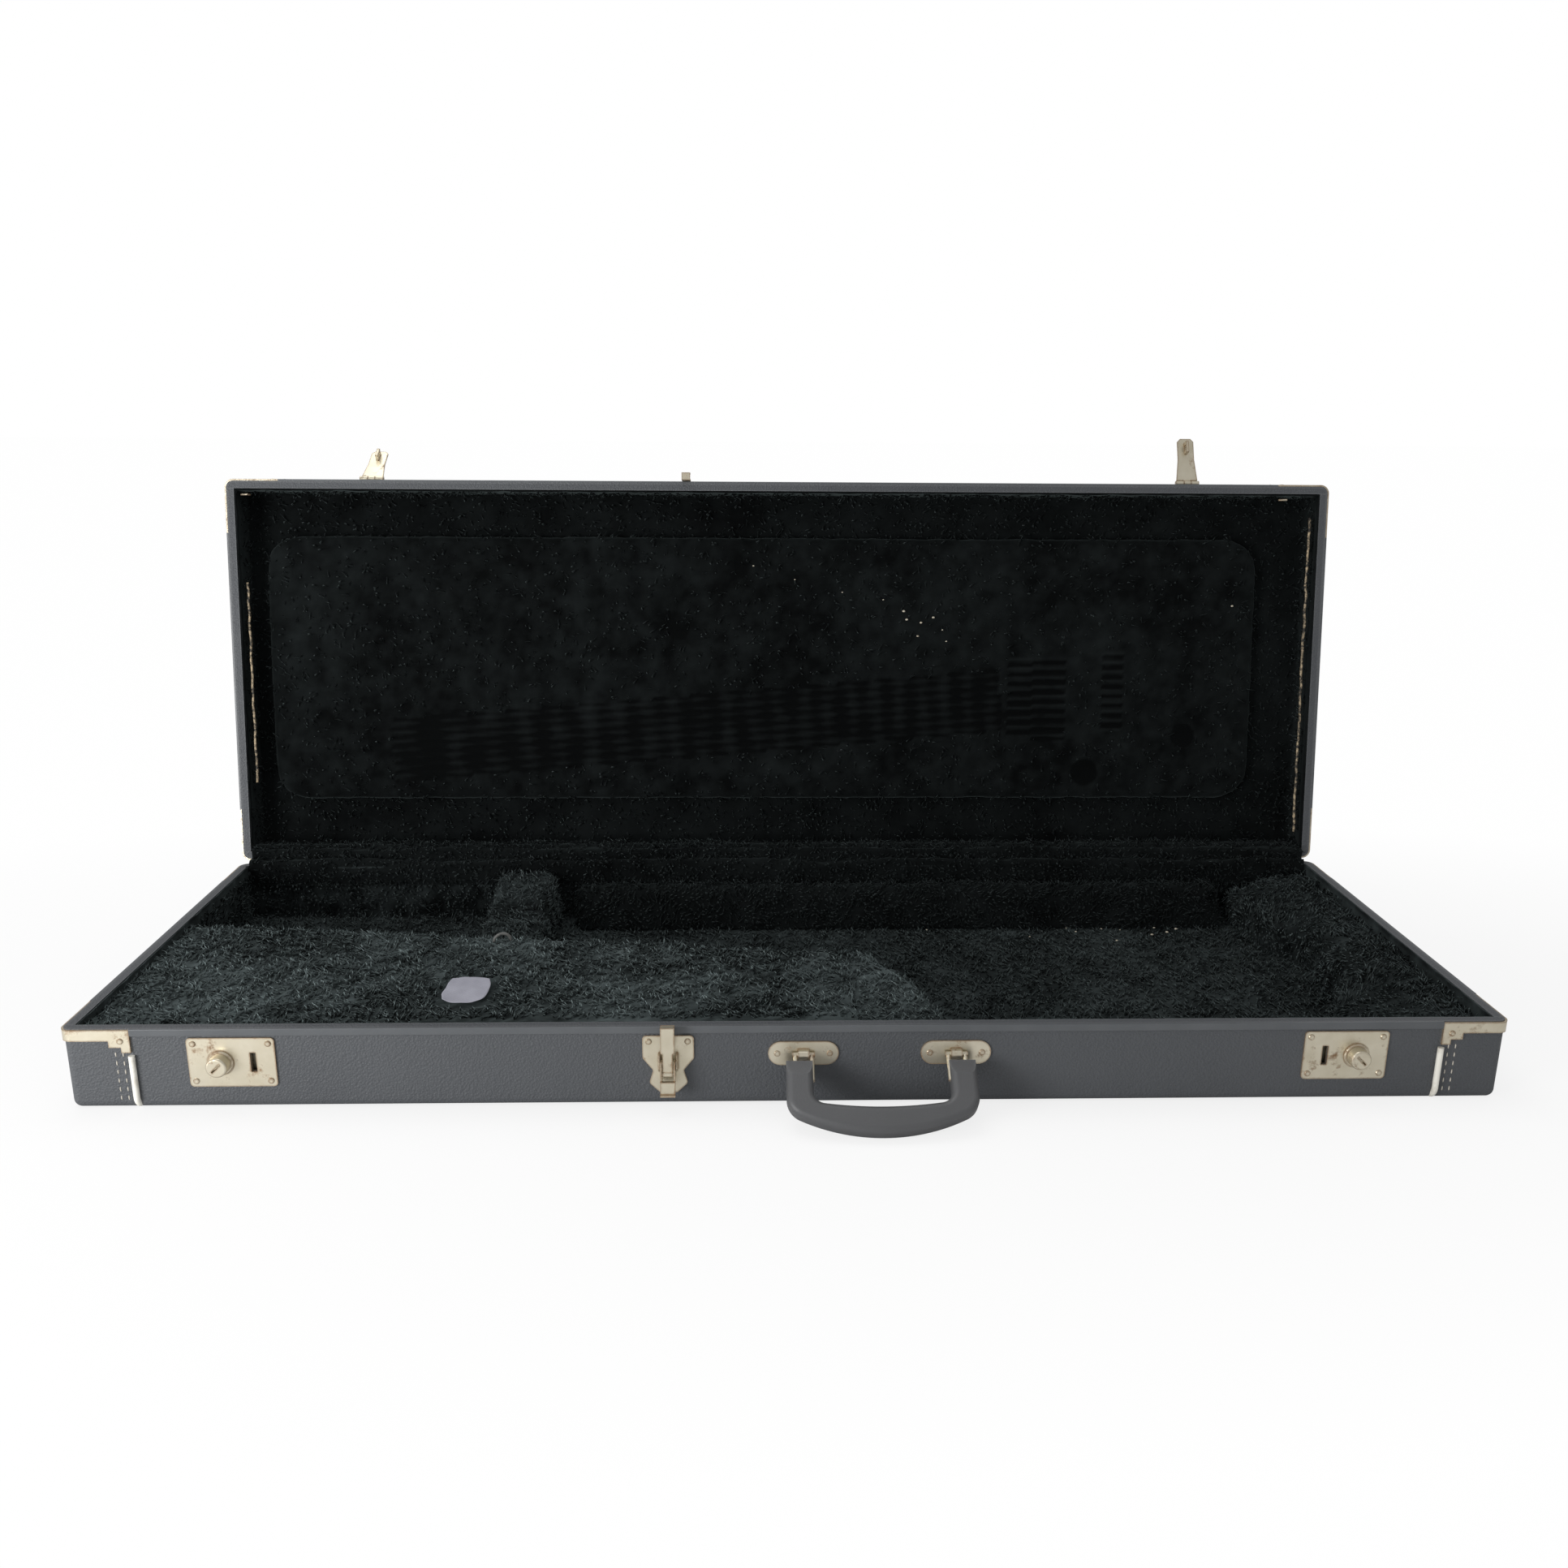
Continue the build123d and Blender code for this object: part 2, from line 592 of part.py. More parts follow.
def hasp(side):
    """The leaf that swings down over the lock, with the staple that enters its slot."""
    x = lock_places(side)[2]
    half, waist, tip = HASP_LEAF_WIDTH / 2, HASP_WAIST / 2, HASP_TIP_WIDTH / 2
    leaf_top = HASP_AXIS_Z - HASP_KNUCKLE_RADIUS - HASP_LEAF_GAP
    out = HASP_LEAF_OUT
    right = [
        (half, leaf_top), (waist, (leaf_top + HASP_LEAF_END) / 2), (waist, HASP_LEAF_END + HASP_TIP_RISE),
        (tip, HASP_LEAF_END),
    ]
    left = [(-across, z) for across, z in reversed(right)]
    front = Plane(origin=(x, FRONT - out, 0), x_dir=(1, 0, 0), z_dir=(0, -1, 0))
    leaf = extrude(front * make_face(Polyline(*right, *left, close=True)), HASP_LEAF_SHEET)
    neck = front_block(
        x - HASP_KNUCKLE_HALF, x + HASP_KNUCKLE_HALF, out, out + HASP_LEAF_SHEET, leaf_top, HASP_AXIS_Z
    )
    barrel = rod_x(
        x - HASP_KNUCKLE_HALF, x + HASP_KNUCKLE_HALF, FRONT - HASP_AXIS_OUT, HASP_AXIS_Z, HASP_KNUCKLE_RADIUS
    )
    staple = front_block(
        x - STAPLE_WIDTH / 2, x + STAPLE_WIDTH / 2, out - STAPLE_REACH - HASP_LEAF_SHEET, out,
        LOCK_CENTRE_Z - STAPLE_HEIGHT / 2, LOCK_CENTRE_Z + STAPLE_HEIGHT / 2,
    )
    window = front_block(
        x - STAPLE_WIDTH, x + STAPLE_WIDTH, out - STAPLE_REACH, out - 1,
        LOCK_CENTRE_Z - STAPLE_WINDOW / 2, LOCK_CENTRE_Z + STAPLE_WINDOW / 2,
    )
    bore = rod_x(x - half, x + half, FRONT - HASP_AXIS_OUT, HASP_AXIS_Z, HASP_PIN_RADIUS + PIN_CLEARANCE)
    return joined([leaf, neck, barrel, staple]) - window - bore


def latch_rivets():
    """Three rivets hold the draw latch's plate."""
    x = LATCH_X
    reach = LATCH_WIDTH / 2 - LOCK_RIVET_INSET
    z = LATCH_TOP - LOCK_RIVET_INSET
    return front_rivets([(x - reach, z), (x + reach, z), (x, LATCH_BOTTOM + LOCK_RIVET_INSET)], SHEET)


def latch_plate():
    """The shield-shaped plate with the two ears that carry the lever."""
    half, neck, tail, end = (w / 2 for w in (LATCH_WIDTH, LATCH_NECK_WIDTH, LATCH_TAIL_WIDTH, LATCH_FOOT_WIDTH))
    right = [
        (half, LATCH_TOP), (half, LATCH_SHOULDER_Z), (neck, LATCH_NECK_Z), (tail, LATCH_TAIL_Z),
        (end, LATCH_BOTTOM),
    ]
    left = [(-x, z) for x, z in reversed(right)]
    face = make_face(Polyline(*right, *left, close=True))
    face = fillet(face.vertices(), LATCH_ROUND)
    plate = extrude(Plane(origin=(LATCH_X, FRONT, 0), x_dir=(1, 0, 0), z_dir=(0, -1, 0)) * face, SHEET)
    ears = []
    low, high = LEVER_AXIS_Z - EAR_HEIGHT / 2, LEVER_AXIS_Z + EAR_HEIGHT / 2
    for side in (-1, 1):
        a, b = sorted((LATCH_X + side * EAR_INNER, LATCH_X + side * (EAR_INNER + EAR_SHEET)))
        ear = front_block(a, b, 0, EAR_OUT, low, high)
        ears.append(chamfer(ear.edges().filter_by(Axis.X).group_by(Axis.Y)[0], EAR_CHAMFER))
    return less(joined([plate, *ears]), [lever_pin(), *latch_rivets()])


def lever_pin():
    """The pin through the ears."""
    reach = EAR_INNER + EAR_SHEET
    return rod_x(LATCH_X - reach, LATCH_X + reach, FRONT - LEVER_AXIS_OUT, LEVER_AXIS_Z, LEVER_PIN_RADIUS)


def claw_pin():
    """The pin that carries the claw between the lever's cheeks."""
    return rod_x(
        LATCH_X - CHEEK_OUTER, LATCH_X + CHEEK_OUTER, FRONT - CLAW_PIN_OUT, CLAW_PIN_Z, CLAW_PIN_RADIUS
    )


def latch_lever():
    """Two cheeks under a cover that turns out into a finger tip."""
    parts = []
    for side in (-1, 1):
        a, b = sorted((LATCH_X + side * CHEEK_OUTER, LATCH_X + side * (CHEEK_OUTER - CHEEK_SHEET)))
        cheek = front_block(a, b, CHEEK_INNER_OUT, CHEEK_OUTER_OUT, CHEEK_BOTTOM, CHEEK_TOP)
        parts.append(chamfer(cheek.edges().filter_by(Axis.X).group_by(Axis.Z)[-1], CHEEK_CHAMFER))
    left, right = LATCH_X - CHEEK_OUTER, LATCH_X + CHEEK_OUTER
    out = CHEEK_OUTER_OUT
    parts.append(front_block(left, right, out - CHEEK_SHEET, out + CHEEK_SHEET, LEVER_TIP, LEVER_COVER_TOP))
    parts.append(front_block(left, right, out - CHEEK_SHEET, out + LEVER_LIP, LEVER_TIP - CHEEK_SHEET, LEVER_TIP))
    bore = rod_x(
        LATCH_X - EAR_INNER, LATCH_X + EAR_INNER, FRONT - LEVER_AXIS_OUT, LEVER_AXIS_Z,
        LEVER_PIN_RADIUS + PIN_CLEARANCE,
    )
    return less(joined(parts), [bore, claw_pin()])


def latch_claw():
    """The link that rises from the lever and hooks over the catch."""
    low, high = CLAW_PIN_OUT - CLAW_SHEET / 2, CLAW_PIN_OUT + CLAW_SHEET / 2
    half, head = CLAW_WIDTH / 2, CLAW_HEAD_WIDTH / 2
    parts = [
        rod_x(LATCH_X - half, LATCH_X + half, FRONT - CLAW_PIN_OUT, CLAW_PIN_Z, CLAW_BARREL_RADIUS),
        front_block(LATCH_X - half, LATCH_X + half, low, high, CLAW_PIN_Z, CLAW_HEAD_Z),
        front_block(LATCH_X - head, LATCH_X + head, low, high, CLAW_HEAD_Z, CLAW_TOP),
        front_block(LATCH_X - head, LATCH_X + head, CLAW_TIP_OUT, high, CLAW_TOP - CLAW_SHEET, CLAW_TOP),
        front_block(
            LATCH_X - head, LATCH_X + head, CLAW_TIP_OUT, CLAW_TIP_OUT + CLAW_SHEET,
            CLAW_TOP - CLAW_TIP_DROP, CLAW_TOP,
        ),
    ]
    bore = rod_x(
        LATCH_X - half, LATCH_X + half, FRONT - CLAW_PIN_OUT, CLAW_PIN_Z, CLAW_PIN_RADIUS + PIN_CLEARANCE
    )
    return joined(parts) - bore


def catch_rivets():
    """Two rivets hold the catch to the lid."""
    reach = CATCH_WIDTH / 2 - LOCK_RIVET_INSET
    z = LID_RIM + BEAD_HEIGHT + CATCH_BEAD_GAP + CATCH_HEIGHT / 2
    return front_rivets([(LATCH_X - reach, z), (LATCH_X + reach, z)], SHEET)


def latch_catch():
    """The plate on the lid whose tongue hangs below the rim and turns up into the lip that the claw holds."""
    foot = LID_RIM + BEAD_HEIGHT + CATCH_BEAD_GAP
    half, tongue = CATCH_WIDTH / 2, TONGUE_WIDTH / 2
    out = TONGUE_OUT + TONGUE_SHEET
    left, right = LATCH_X - tongue, LATCH_X + tongue
    plate = front_block(LATCH_X - half, LATCH_X + half, 0, SHEET, foot, foot + CATCH_HEIGHT)
    plate = fillet(plate.edges().filter_by(Axis.Y), CATCH_CORNER)
    parts = [
        plate,
        front_block(left, right, 0, out, foot, foot + CATCH_ROOT),
        front_block(left, right, TONGUE_OUT, out, TONGUE_BOTTOM, foot + CATCH_ROOT),
        front_block(left, right, TONGUE_OUT, TONGUE_LIP_OUT, TONGUE_BOTTOM, TONGUE_BOTTOM + TONGUE_SHEET),
        front_block(left, right, TONGUE_LIP_OUT - SHEET, TONGUE_LIP_OUT, TONGUE_BOTTOM, TONGUE_LIP_TOP),
    ]
    return less(joined(parts), catch_rivets())


# Handle


def bracket_places():
    """The X of each bracket's middle."""
    return [HANDLE_CENTRE_X - HANDLE_PITCH / 2, HANDLE_CENTRE_X + HANDLE_PITCH / 2]


def bracket_rivets():
    """Two rivets in each bracket."""
    half = BRACKET_RIVET_SPREAD / 2
    places = [(x + side * half, HANDLE_AXIS_Z) for x in bracket_places() for side in (-1, 1)]
    return front_rivets(places, SHEET)


def handle_bracket(x):
    """An oval plate with a raised bridge across its middle, where the handle's loop turns."""
    half_x, half_z = BRACKET_LENGTH / 2, BRACKET_WIDTH / 2
    oval = front_block(x - half_x, x + half_x, 0, SHEET, HANDLE_AXIS_Z - half_z, HANDLE_AXIS_Z + half_z)
    oval = fillet(oval.edges().filter_by(Axis.Y), half_z - 0.05)
    radius = LOOP_RADIUS + LOOP_CLEARANCE + BRIDGE_WALL
    y = FRONT - HANDLE_AXIS_OUT
    left, right = x - BRIDGE_HALF, x + BRIDGE_HALF
    bridge = rod_x(left, right, y, HANDLE_AXIS_Z, radius)
    root = front_block(left, right, 0, HANDLE_AXIS_OUT, HANDLE_AXIS_Z - radius, HANDLE_AXIS_Z + radius)
    above = front_block(left, right, 0, HANDLE_AXIS_OUT + radius, HANDLE_AXIS_Z - radius, HANDLE_AXIS_Z + radius)
    tunnel = rod_x(x - half_x, x + half_x, y, HANDLE_AXIS_Z, LOOP_RADIUS + LOOP_CLEARANCE)
    return less(joined([oval, (bridge & above) + root]), [tunnel, *bracket_rivets()])


def handle_angle():
    """How far below level the handle hangs when its grip rests on the floor."""
    radius = HANDLE_ROUND
    arm = math.hypot(HANDLE_DROP - radius, HANDLE_THICKNESS / 2 - radius)
    fall = HANDLE_AXIS_Z - radius - HANDLE_FLOOR_GAP
    lead = math.atan2(HANDLE_THICKNESS / 2 - radius, HANDLE_DROP - radius)
    return math.degrees(math.asin(fall / arm) - lead)


def hung(shape):
    """A piece of the handle, drawn level and outwards along -Y from its axis, put where it hangs."""
    turned = shape.rotate(Axis.X, handle_angle())
    return turned.translate((HANDLE_CENTRE_X, FRONT - HANDLE_AXIS_OUT, HANDLE_AXIS_Z))


def handle_loop(x):
    """A steel staple: its bar turns in the bridge and its two prongs go up into the leg."""
    reach = LOOP_HALF + PRONG_RADIUS + LOOP_END
    bar = rod_x(x - reach, x + reach, 0, 0, LOOP_RADIUS)
    prongs = [
        Pos(x + side * LOOP_HALF, -PRONG_END / 2, 0) * Rot(90, 0, 0) * Cylinder(PRONG_RADIUS, PRONG_END)
        for side in (-1, 1)
    ]
    return joined([bar, *prongs])


def handle_grip():
    """A moulded bail: two tapering legs and a bowed grip with rounded edges."""
    outer, inner = HANDLE_WIDTH / 2, HANDLE_WIDTH / 2 - HANDLE_LEG
    outline = make_face(
        Polyline(
            (-outer, -HANDLE_SIDE_END), (-outer, -HANDLE_START), (outer, -HANDLE_START), (outer, -HANDLE_SIDE_END),
        )
        + ThreePointArc((outer, -HANDLE_SIDE_END), (0, -HANDLE_DROP), (-outer, -HANDLE_SIDE_END))
    )
    outline = fillet(outline.vertices().group_by(Axis.Y)[0], HANDLE_CORNER)
    gap = make_face(
        Polyline((-inner, -GRIP_INNER_SIDE), (-inner, 0), (inner, 0), (inner, -GRIP_INNER_SIDE))
        + ThreePointArc((inner, -GRIP_INNER_SIDE), (0, -GRIP_INNER_DROP), (-inner, -GRIP_INNER_SIDE))
    )
    gap = fillet(gap.vertices().group_by(Axis.Y)[0], GRIP_INNER_CORNER)
    half = HANDLE_THICKNESS / 2
    bail = extrude(outline - gap, half, both=True)
    rims = bail.edges().group_by(Axis.Z)[0] + bail.edges().group_by(Axis.Z)[-1]
    ends = [edge for edge in rims if abs(edge.center().Y + HANDLE_START) < 0.01]
    bail = fillet([edge for edge in rims if edge not in ends], HANDLE_ROUND)
    top = HANDLE_TOP_THICKNESS / 2
    side = [
        (-HANDLE_START, -top), (-HANDLE_TAPER_END, -half), (-HANDLE_DROP - 5, -half), (-HANDLE_DROP - 5, half),
        (-HANDLE_TAPER_END, half), (-HANDLE_START, top),
    ]
    taper = extrude(Plane.YZ * make_face(Polyline(*side, close=True)), HANDLE_WIDTH, both=True)
    return bail & taper


# Hinges and feet


def hinge_leaf(x, low, high, knuckles):
    """A leaf flat on the back face, with some of the knuckles along the edge nearest the pin."""
    half = HINGE_WIDTH / 2
    pitch = HINGE_WIDTH / HINGE_KNUCKLES
    edge, inward = (high, -1) if high < HINGE_Z else (low, 1)
    near = BACK + HINGE_OUT - HINGE_KNUCKLE_RADIUS
    parts = [block(x - half, x + half, BACK, BACK + SHEET, low, high)]
    for k in knuckles:
        a = x - half + k * pitch + HINGE_KNUCKLE_GAP / 2
        b = x - half + (k + 1) * pitch - HINGE_KNUCKLE_GAP / 2
        parts.append(rod_x(a, b, BACK + HINGE_OUT, HINGE_Z, HINGE_KNUCKLE_RADIUS))
        parts.append(block(a, b, near, BACK + HINGE_OUT, *sorted((HINGE_Z, edge))))
        parts.append(block(a, b, BACK, BACK + HINGE_OUT, *sorted((edge, edge + inward * HINGE_ROOT))))
    return joined(parts)


def hinge_rivets(z):
    """Two rivets in each leaf."""
    half = HINGE_RIVET_SPREAD / 2
    return back_rivets([(x + side * half, z) for x in HINGE_POSITIONS for side in (-1, 1)], SHEET)


def foot(x):
    """A domed glide that the case stands on when it is carried upright."""
    dome = Pos(x, BACK + FOOT_HEIGHT / 2, FOOT_Z) * Rot(90, 0, 0) * Cylinder(FOOT_RADIUS, FOOT_HEIGHT)
    return fillet(dome.edges().group_by(Axis.Y)[-1], FOOT_CROWN)


# Padding


def prism(points, low, high):
    """An upright prism on an outline of (x, distance back from the front lining) points."""
    outline = Polyline(*[(x, INSIDE_FRONT + back) for x, back in points], close=True)
    return extrude(Pos(0, 0, low) * make_face(outline), high - low)


def block_edge(x):
    """How far back the front block reaches at x."""
    run = BLOCK_RIGHT_X + INSIDE_END
    return BLOCK_LEFT_BACK + (BLOCK_RIGHT_BACK - BLOCK_LEFT_BACK) * (x + INSIDE_END) / run


def pocket_lid_outline(gap):
    """The pocket's lid in plan, from the wall to just past the block's slanting edge."""
    left, right = POCKET_LEFT_X - POCKET_LID_LAP + gap, POCKET_RIGHT_X + POCKET_LID_LAP - gap
    past = POCKET_LID_PAST - 2 * gap
    return [(left, gap), (right, gap), (right, block_edge(right) + past), (left, block_edge(left) + past)]


def neck_block():
    """The padded block in front of the neck, with the accessory pocket sunk in it."""
    points = [
        (-PAD_END, PAD_CLEARANCE), (BLOCK_END_X, PAD_CLEARANCE), (BLOCK_END_X - BLOCK_CUTAWAY, BLOCK_CUTAWAY_BACK),
        (BLOCK_RIGHT_X, BLOCK_RIGHT_BACK), (-PAD_END, BLOCK_LEFT_BACK),
    ]
    body = prism(points, PAD_FLOOR, BLOCK_TOP)
    body = fillet(body.edges().filter_by(Axis.Z).group_by(Axis.X)[-1], BLOCK_ROUND)
    rebate = prism(pocket_lid_outline(0), BLOCK_TOP - POCKET_LID, BLOCK_TOP + 1)
    left, right = POCKET_LEFT_X, POCKET_RIGHT_X
    pocket = prism(
        [(left, POCKET_WALL), (right, POCKET_WALL), (right, block_edge(right) - POCKET_WALL),
         (left, block_edge(left) - POCKET_WALL)],
        PAD_FLOOR + POCKET_FLOOR, BLOCK_TOP + 1,
    )
    pin = pocket_pin(POCKET_PIN_RADIUS)
    return less(body, [rebate, pocket, pin])


def pocket_pin(radius):
    """The wire on which the pocket's lid turns, let into the block at both ends."""
    left, right = POCKET_LEFT_X - POCKET_LID_LAP, POCKET_RIGHT_X + POCKET_LID_LAP
    flap = POCKET_LID - POCKET_LID_LIFT
    y, z = INSIDE_FRONT + POCKET_LID_GAP + flap / 2, BLOCK_TOP - flap / 2
    return rod_x(left - POCKET_PIN_END, right + POCKET_PIN_END, y, z, radius)


def pocket_lid():
    """A plush-covered flap over the pocket, bored for its pin and rounded about it."""
    flap = prism(pocket_lid_outline(POCKET_LID_GAP), BLOCK_TOP - POCKET_LID + POCKET_LID_LIFT, BLOCK_TOP)
    near = flap.edges().filter_by(Axis.X).group_by(Axis.Y)[0]
    flap = fillet(near, (POCKET_LID - POCKET_LID_LIFT) / 2 - 0.01)
    return less(flap, [pocket_pin(POCKET_PIN_RADIUS + PIN_CLEARANCE)])


def pull_loop():
    """The cord loop that lifts the pocket's lid."""
    x = POCKET_LEFT_X - POCKET_LID_LAP + PULL_LOOP_INSET
    y = INSIDE_FRONT + block_edge(x) - PULL_LOOP_RADIUS
    turned = Rot(0, 0, PULL_LOOP_TURN) * Rot(90, 0, 0)
    ring = Pos(x, y, BLOCK_TOP) * turned * Torus(PULL_LOOP_RADIUS, PULL_CORD_RADIUS)
    reach = PULL_LOOP_RADIUS + 2 * PULL_CORD_RADIUS
    return ring & block(x - reach, x + reach, y - reach, y + reach, BLOCK_TOP, BLOCK_TOP + reach)


def neck_rest():
    """The saddle between the block and the back wall that carries the neck."""
    half, base = NECK_REST_WIDTH / 2, NECK_REST_BASE / 2
    front = INSIDE_FRONT + block_edge(NECK_REST_X - base) + PAD_CLEARANCE
    back = INSIDE_BACK - PAD_CLEARANCE
    top = PAD_FLOOR + NECK_REST_HEIGHT
    section = Plane(origin=(NECK_REST_X, front, 0), x_dir=(1, 0, 0), z_dir=(0, -1, 0)) * make_face(
        Polyline((-base, PAD_FLOOR), (base, PAD_FLOOR), (half, top), (-half, top), close=True)
    )
    body = extrude(section, -(back - front))
    middle = (front + back) / 2
    arc_radius = (NECK_SADDLE_WIDTH**2 / 4 + NECK_SADDLE_DEPTH**2) / (2 * NECK_SADDLE_DEPTH)
    return body - rod_x(
        NECK_REST_X - base, NECK_REST_X + base, middle, top - NECK_SADDLE_DEPTH + arc_radius, arc_radius
    )


def wedge(points, start, end):
    """A prism along X with its outline given as (y, z) points."""
    across = Plane(origin=(start, 0, 0), x_dir=(0, 1, 0), z_dir=(1, 0, 0))
    return extrude(across * make_face(Polyline(*points, close=True)), end - start)


def back_pad():
    """The sloping pad along the back wall of the body's space."""
    back = INSIDE_BACK - PAD_CLEARANCE
    top = PAD_FLOOR + BACK_PAD_HEIGHT
    points = [(back - BACK_PAD_BOTTOM, PAD_FLOOR), (back, PAD_FLOOR), (back, top), (back - BACK_PAD_TOP, top)]
    return wedge(points, BACK_PAD_LEFT_X, BACK_PAD_RIGHT_X)


def front_pad():
    """The sloping pad along the front wall, from the block to the right-hand end."""
    near = INSIDE_FRONT + PAD_CLEARANCE
    top = PAD_FLOOR + FRONT_PAD_HEIGHT
    points = [(near, PAD_FLOOR), (near + FRONT_PAD_BOTTOM, PAD_FLOOR), (near + FRONT_PAD_TOP, top), (near, top)]
    return wedge(points, FRONT_PAD_LEFT_X, INSIDE_END - END_PAD_INSIDE - PAD_CLEARANCE)


def end_pad():
    """The waisted pad at the right-hand end that holds the body's tail, sloped along its inner top."""
    near = INSIDE_END - END_PAD_INSIDE
    waist = INSIDE_END - END_PAD_WAIST
    depth = INSIDE_BACK - INSIDE_FRONT - GUSSET_THICKNESS - PAD_CLEARANCE
    waist_near, waist_far = END_PAD_SPLIT, depth - END_PAD_SPLIT
    points = [
        (near, PAD_CLEARANCE), (PAD_END, PAD_CLEARANCE), (PAD_END, depth), (near, depth),
        (near, waist_far + END_PAD_FLARE), (waist, waist_far), (waist, waist_near), (near, waist_near - END_PAD_FLARE),
    ]
    top = PAD_FLOOR + END_PAD_HEIGHT
    body = prism(points, PAD_FLOOR, top)
    edge = waist + END_PAD_BEVEL
    side = Plane(origin=(0, INSIDE_BACK, 0), x_dir=(1, 0, 0), z_dir=(0, -1, 0))
    above = Polyline((near, PAD_FLOOR + END_PAD_LIP), (near, BASE_HEIGHT), (edge, BASE_HEIGHT), (edge, top), close=True)
    return body - extrude(side * make_face(above), INSIDE_BACK - INSIDE_FRONT)


def lid_pad():
    """The foam pad on the lid's panel, laid out as in a tray with its rim up."""
    y0 = INSIDE_FRONT + LID_PAD_FRONT_MARGIN
    y1 = INSIDE_BACK - LID_PAD_HINGE_MARGIN
    pad = block(LID_PAD_LEFT_X, LID_PAD_RIGHT_X, y0, y1, INSIDE_FLOOR, INSIDE_FLOOR + LID_PAD_THICKNESS)
    pad = fillet(pad.edges().filter_by(Axis.Z), LID_PAD_CORNER)
    return fillet(pad.faces().sort_by(Axis.Z)[-1].edges(), LID_PAD_ROUND)


# Base

base_clip_rivets = clip_rivets(BASE_HEIGHT)
base_front_rivets = [*lock_rivets(-1), *lock_rivets(1), *latch_rivets(), *bracket_rivets()]
base_hinge_rivets = hinge_rivets(BASE_HEIGHT - HINGE_RIVET_DROP)
base_grooves = piping(BASE_HEIGHT, PIPING_RADIUS + PIPING_CLEARANCE)

front, back, left, right, panel = tray_boards(BASE_HEIGHT)
front = less(front, [*base_grooves, *base_front_rivets, *base_clip_rivets])
front = less(front, [lock_case_block(-1, 0), lock_case_block(1, 0)])
write("base_front_board", front)
write("base_back_board", less(back, [*base_grooves, *base_hinge_rivets, *base_clip_rivets]))
write("base_end_boards", less(left, base_clip_rivets), less(right, base_clip_rivets))
write("base_bottom_panel", less(panel, base_grooves))

middle, left_cap, right_cap = tray_vinyl(BASE_HEIGHT)
locks = [*lock_opening(-1), *lock_opening(1)]
middle = less(middle, [*base_grooves, *base_front_rivets, *base_hinge_rivets, *locks])
flat = block(-SEAM_X, SEAM_X, FRONT + EDGE_RADIUS, BACK - EDGE_RADIUS, 0, VINYL)
write("base_vinyl", middle - flat)
write("base_underside", middle & flat)
write("base_left_end_cap", less(left_cap, [*base_grooves, *base_clip_rivets]))
write("base_right_end_cap", less(right_cap, [*base_grooves, *base_clip_rivets]))
write("base_piping", *piping(BASE_HEIGHT, PIPING_RADIUS))
write("base_rim_bead", *rim_bead(BASE_HEIGHT))
write("base_corner_clips", *[less(clip, base_clip_rivets) for clip in corner_clips(BASE_HEIGHT)])
write("base_lining", tray_lining(BASE_HEIGHT))

near, far = INSIDE_FRONT + PAD_CLEARANCE, INSIDE_BACK - PAD_CLEARANCE
write("floor_pad", block(-PAD_END, PAD_END, near, far, INSIDE_FLOOR, PAD_FLOOR))
write("neck_block", neck_block())
write("neck_rest", neck_rest())
write("back_pad", back_pad())
write("front_pad", front_pad())
write("end_pad", end_pad())
gusset = block(
    -PAD_END, PAD_END, INSIDE_BACK - GUSSET_THICKNESS, INSIDE_BACK, BASE_HEIGHT - GUSSET_DROP, BASE_HEIGHT
)
write("hinge_gusset", gusset)
label_y = INSIDE_FRONT + LABEL_BACK
write("label_patch", block(
    LABEL_X - LABEL_LENGTH / 2, LABEL_X + LABEL_LENGTH / 2, label_y - LABEL_WIDTH / 2, label_y + LABEL_WIDTH / 2,
    BLOCK_TOP, BLOCK_TOP + LABEL_SHEET,
))
write("pocket_pin", pocket_pin(POCKET_PIN_RADIUS))
write("pocket_lid", pocket_lid())
write("pull_loop", pull_loop())

for side, name in ((-1, "left"), (1, "right")):
    write(f"{name}_lock_plate", lock_plate(side))
    write(f"{name}_lock_case", lock_case(side))
    write(f"{name}_lock_cylinder", lock_cylinder(side))
write("base_rivets", *base_front_rivets, *base_hinge_rivets, *base_clip_rivets)

write("latch_plate", latch_plate())
write("latch_pin", lever_pin())
write("latch_lever", latch_lever())
write("claw_pin", claw_pin())
write("latch_claw", latch_claw())

write("handle_brackets", *[handle_bracket(x) for x in bracket_places()])
loops = [handle_loop(side * HANDLE_PITCH / 2) for side in (-1, 1)]
write("handle_grip", hung(less(handle_grip(), loops)))
write("handle_loops", *[hung(loop) for loop in loops])

base_leaf_top = HINGE_Z - HINGE_KNUCKLE_RADIUS - HINGE_LEAF_GAP
base_leaves = [hinge_leaf(x, BASE_HEIGHT - HINGE_LEAF, base_leaf_top, (0, 2, 4)) for x in HINGE_POSITIONS]
hinge_pins = [
    rod_x(x - HINGE_WIDTH / 2, x + HINGE_WIDTH / 2, BACK + HINGE_OUT, HINGE_Z, HINGE_PIN_RADIUS)
    for x in HINGE_POSITIONS
]
write("hinge_base_leaves", *[less(leaf, [*hinge_pins, *base_hinge_rivets]) for leaf in base_leaves])
write("hinge_pins", *hinge_pins)
write("feet", *[foot(x) for x in FOOT_POSITIONS])

# Lid

lid_clip_rivets = clip_rivets(LID_HEIGHT)
lid_front_rivets = [*hasp_rivets(-1), *hasp_rivets(1), *catch_rivets()]
lid_hinge_rivets = hinge_rivets(LID_RIM + HINGE_RIVET_DROP)
closed_to_tray = [r.translate((0, 0, -CASE_TOP)).mirror(Plane.XY) for r in [*lid_front_rivets, *lid_hinge_rivets]]
lid_grooves = piping(LID_HEIGHT, PIPING_RADIUS + PIPING_CLEARANCE)

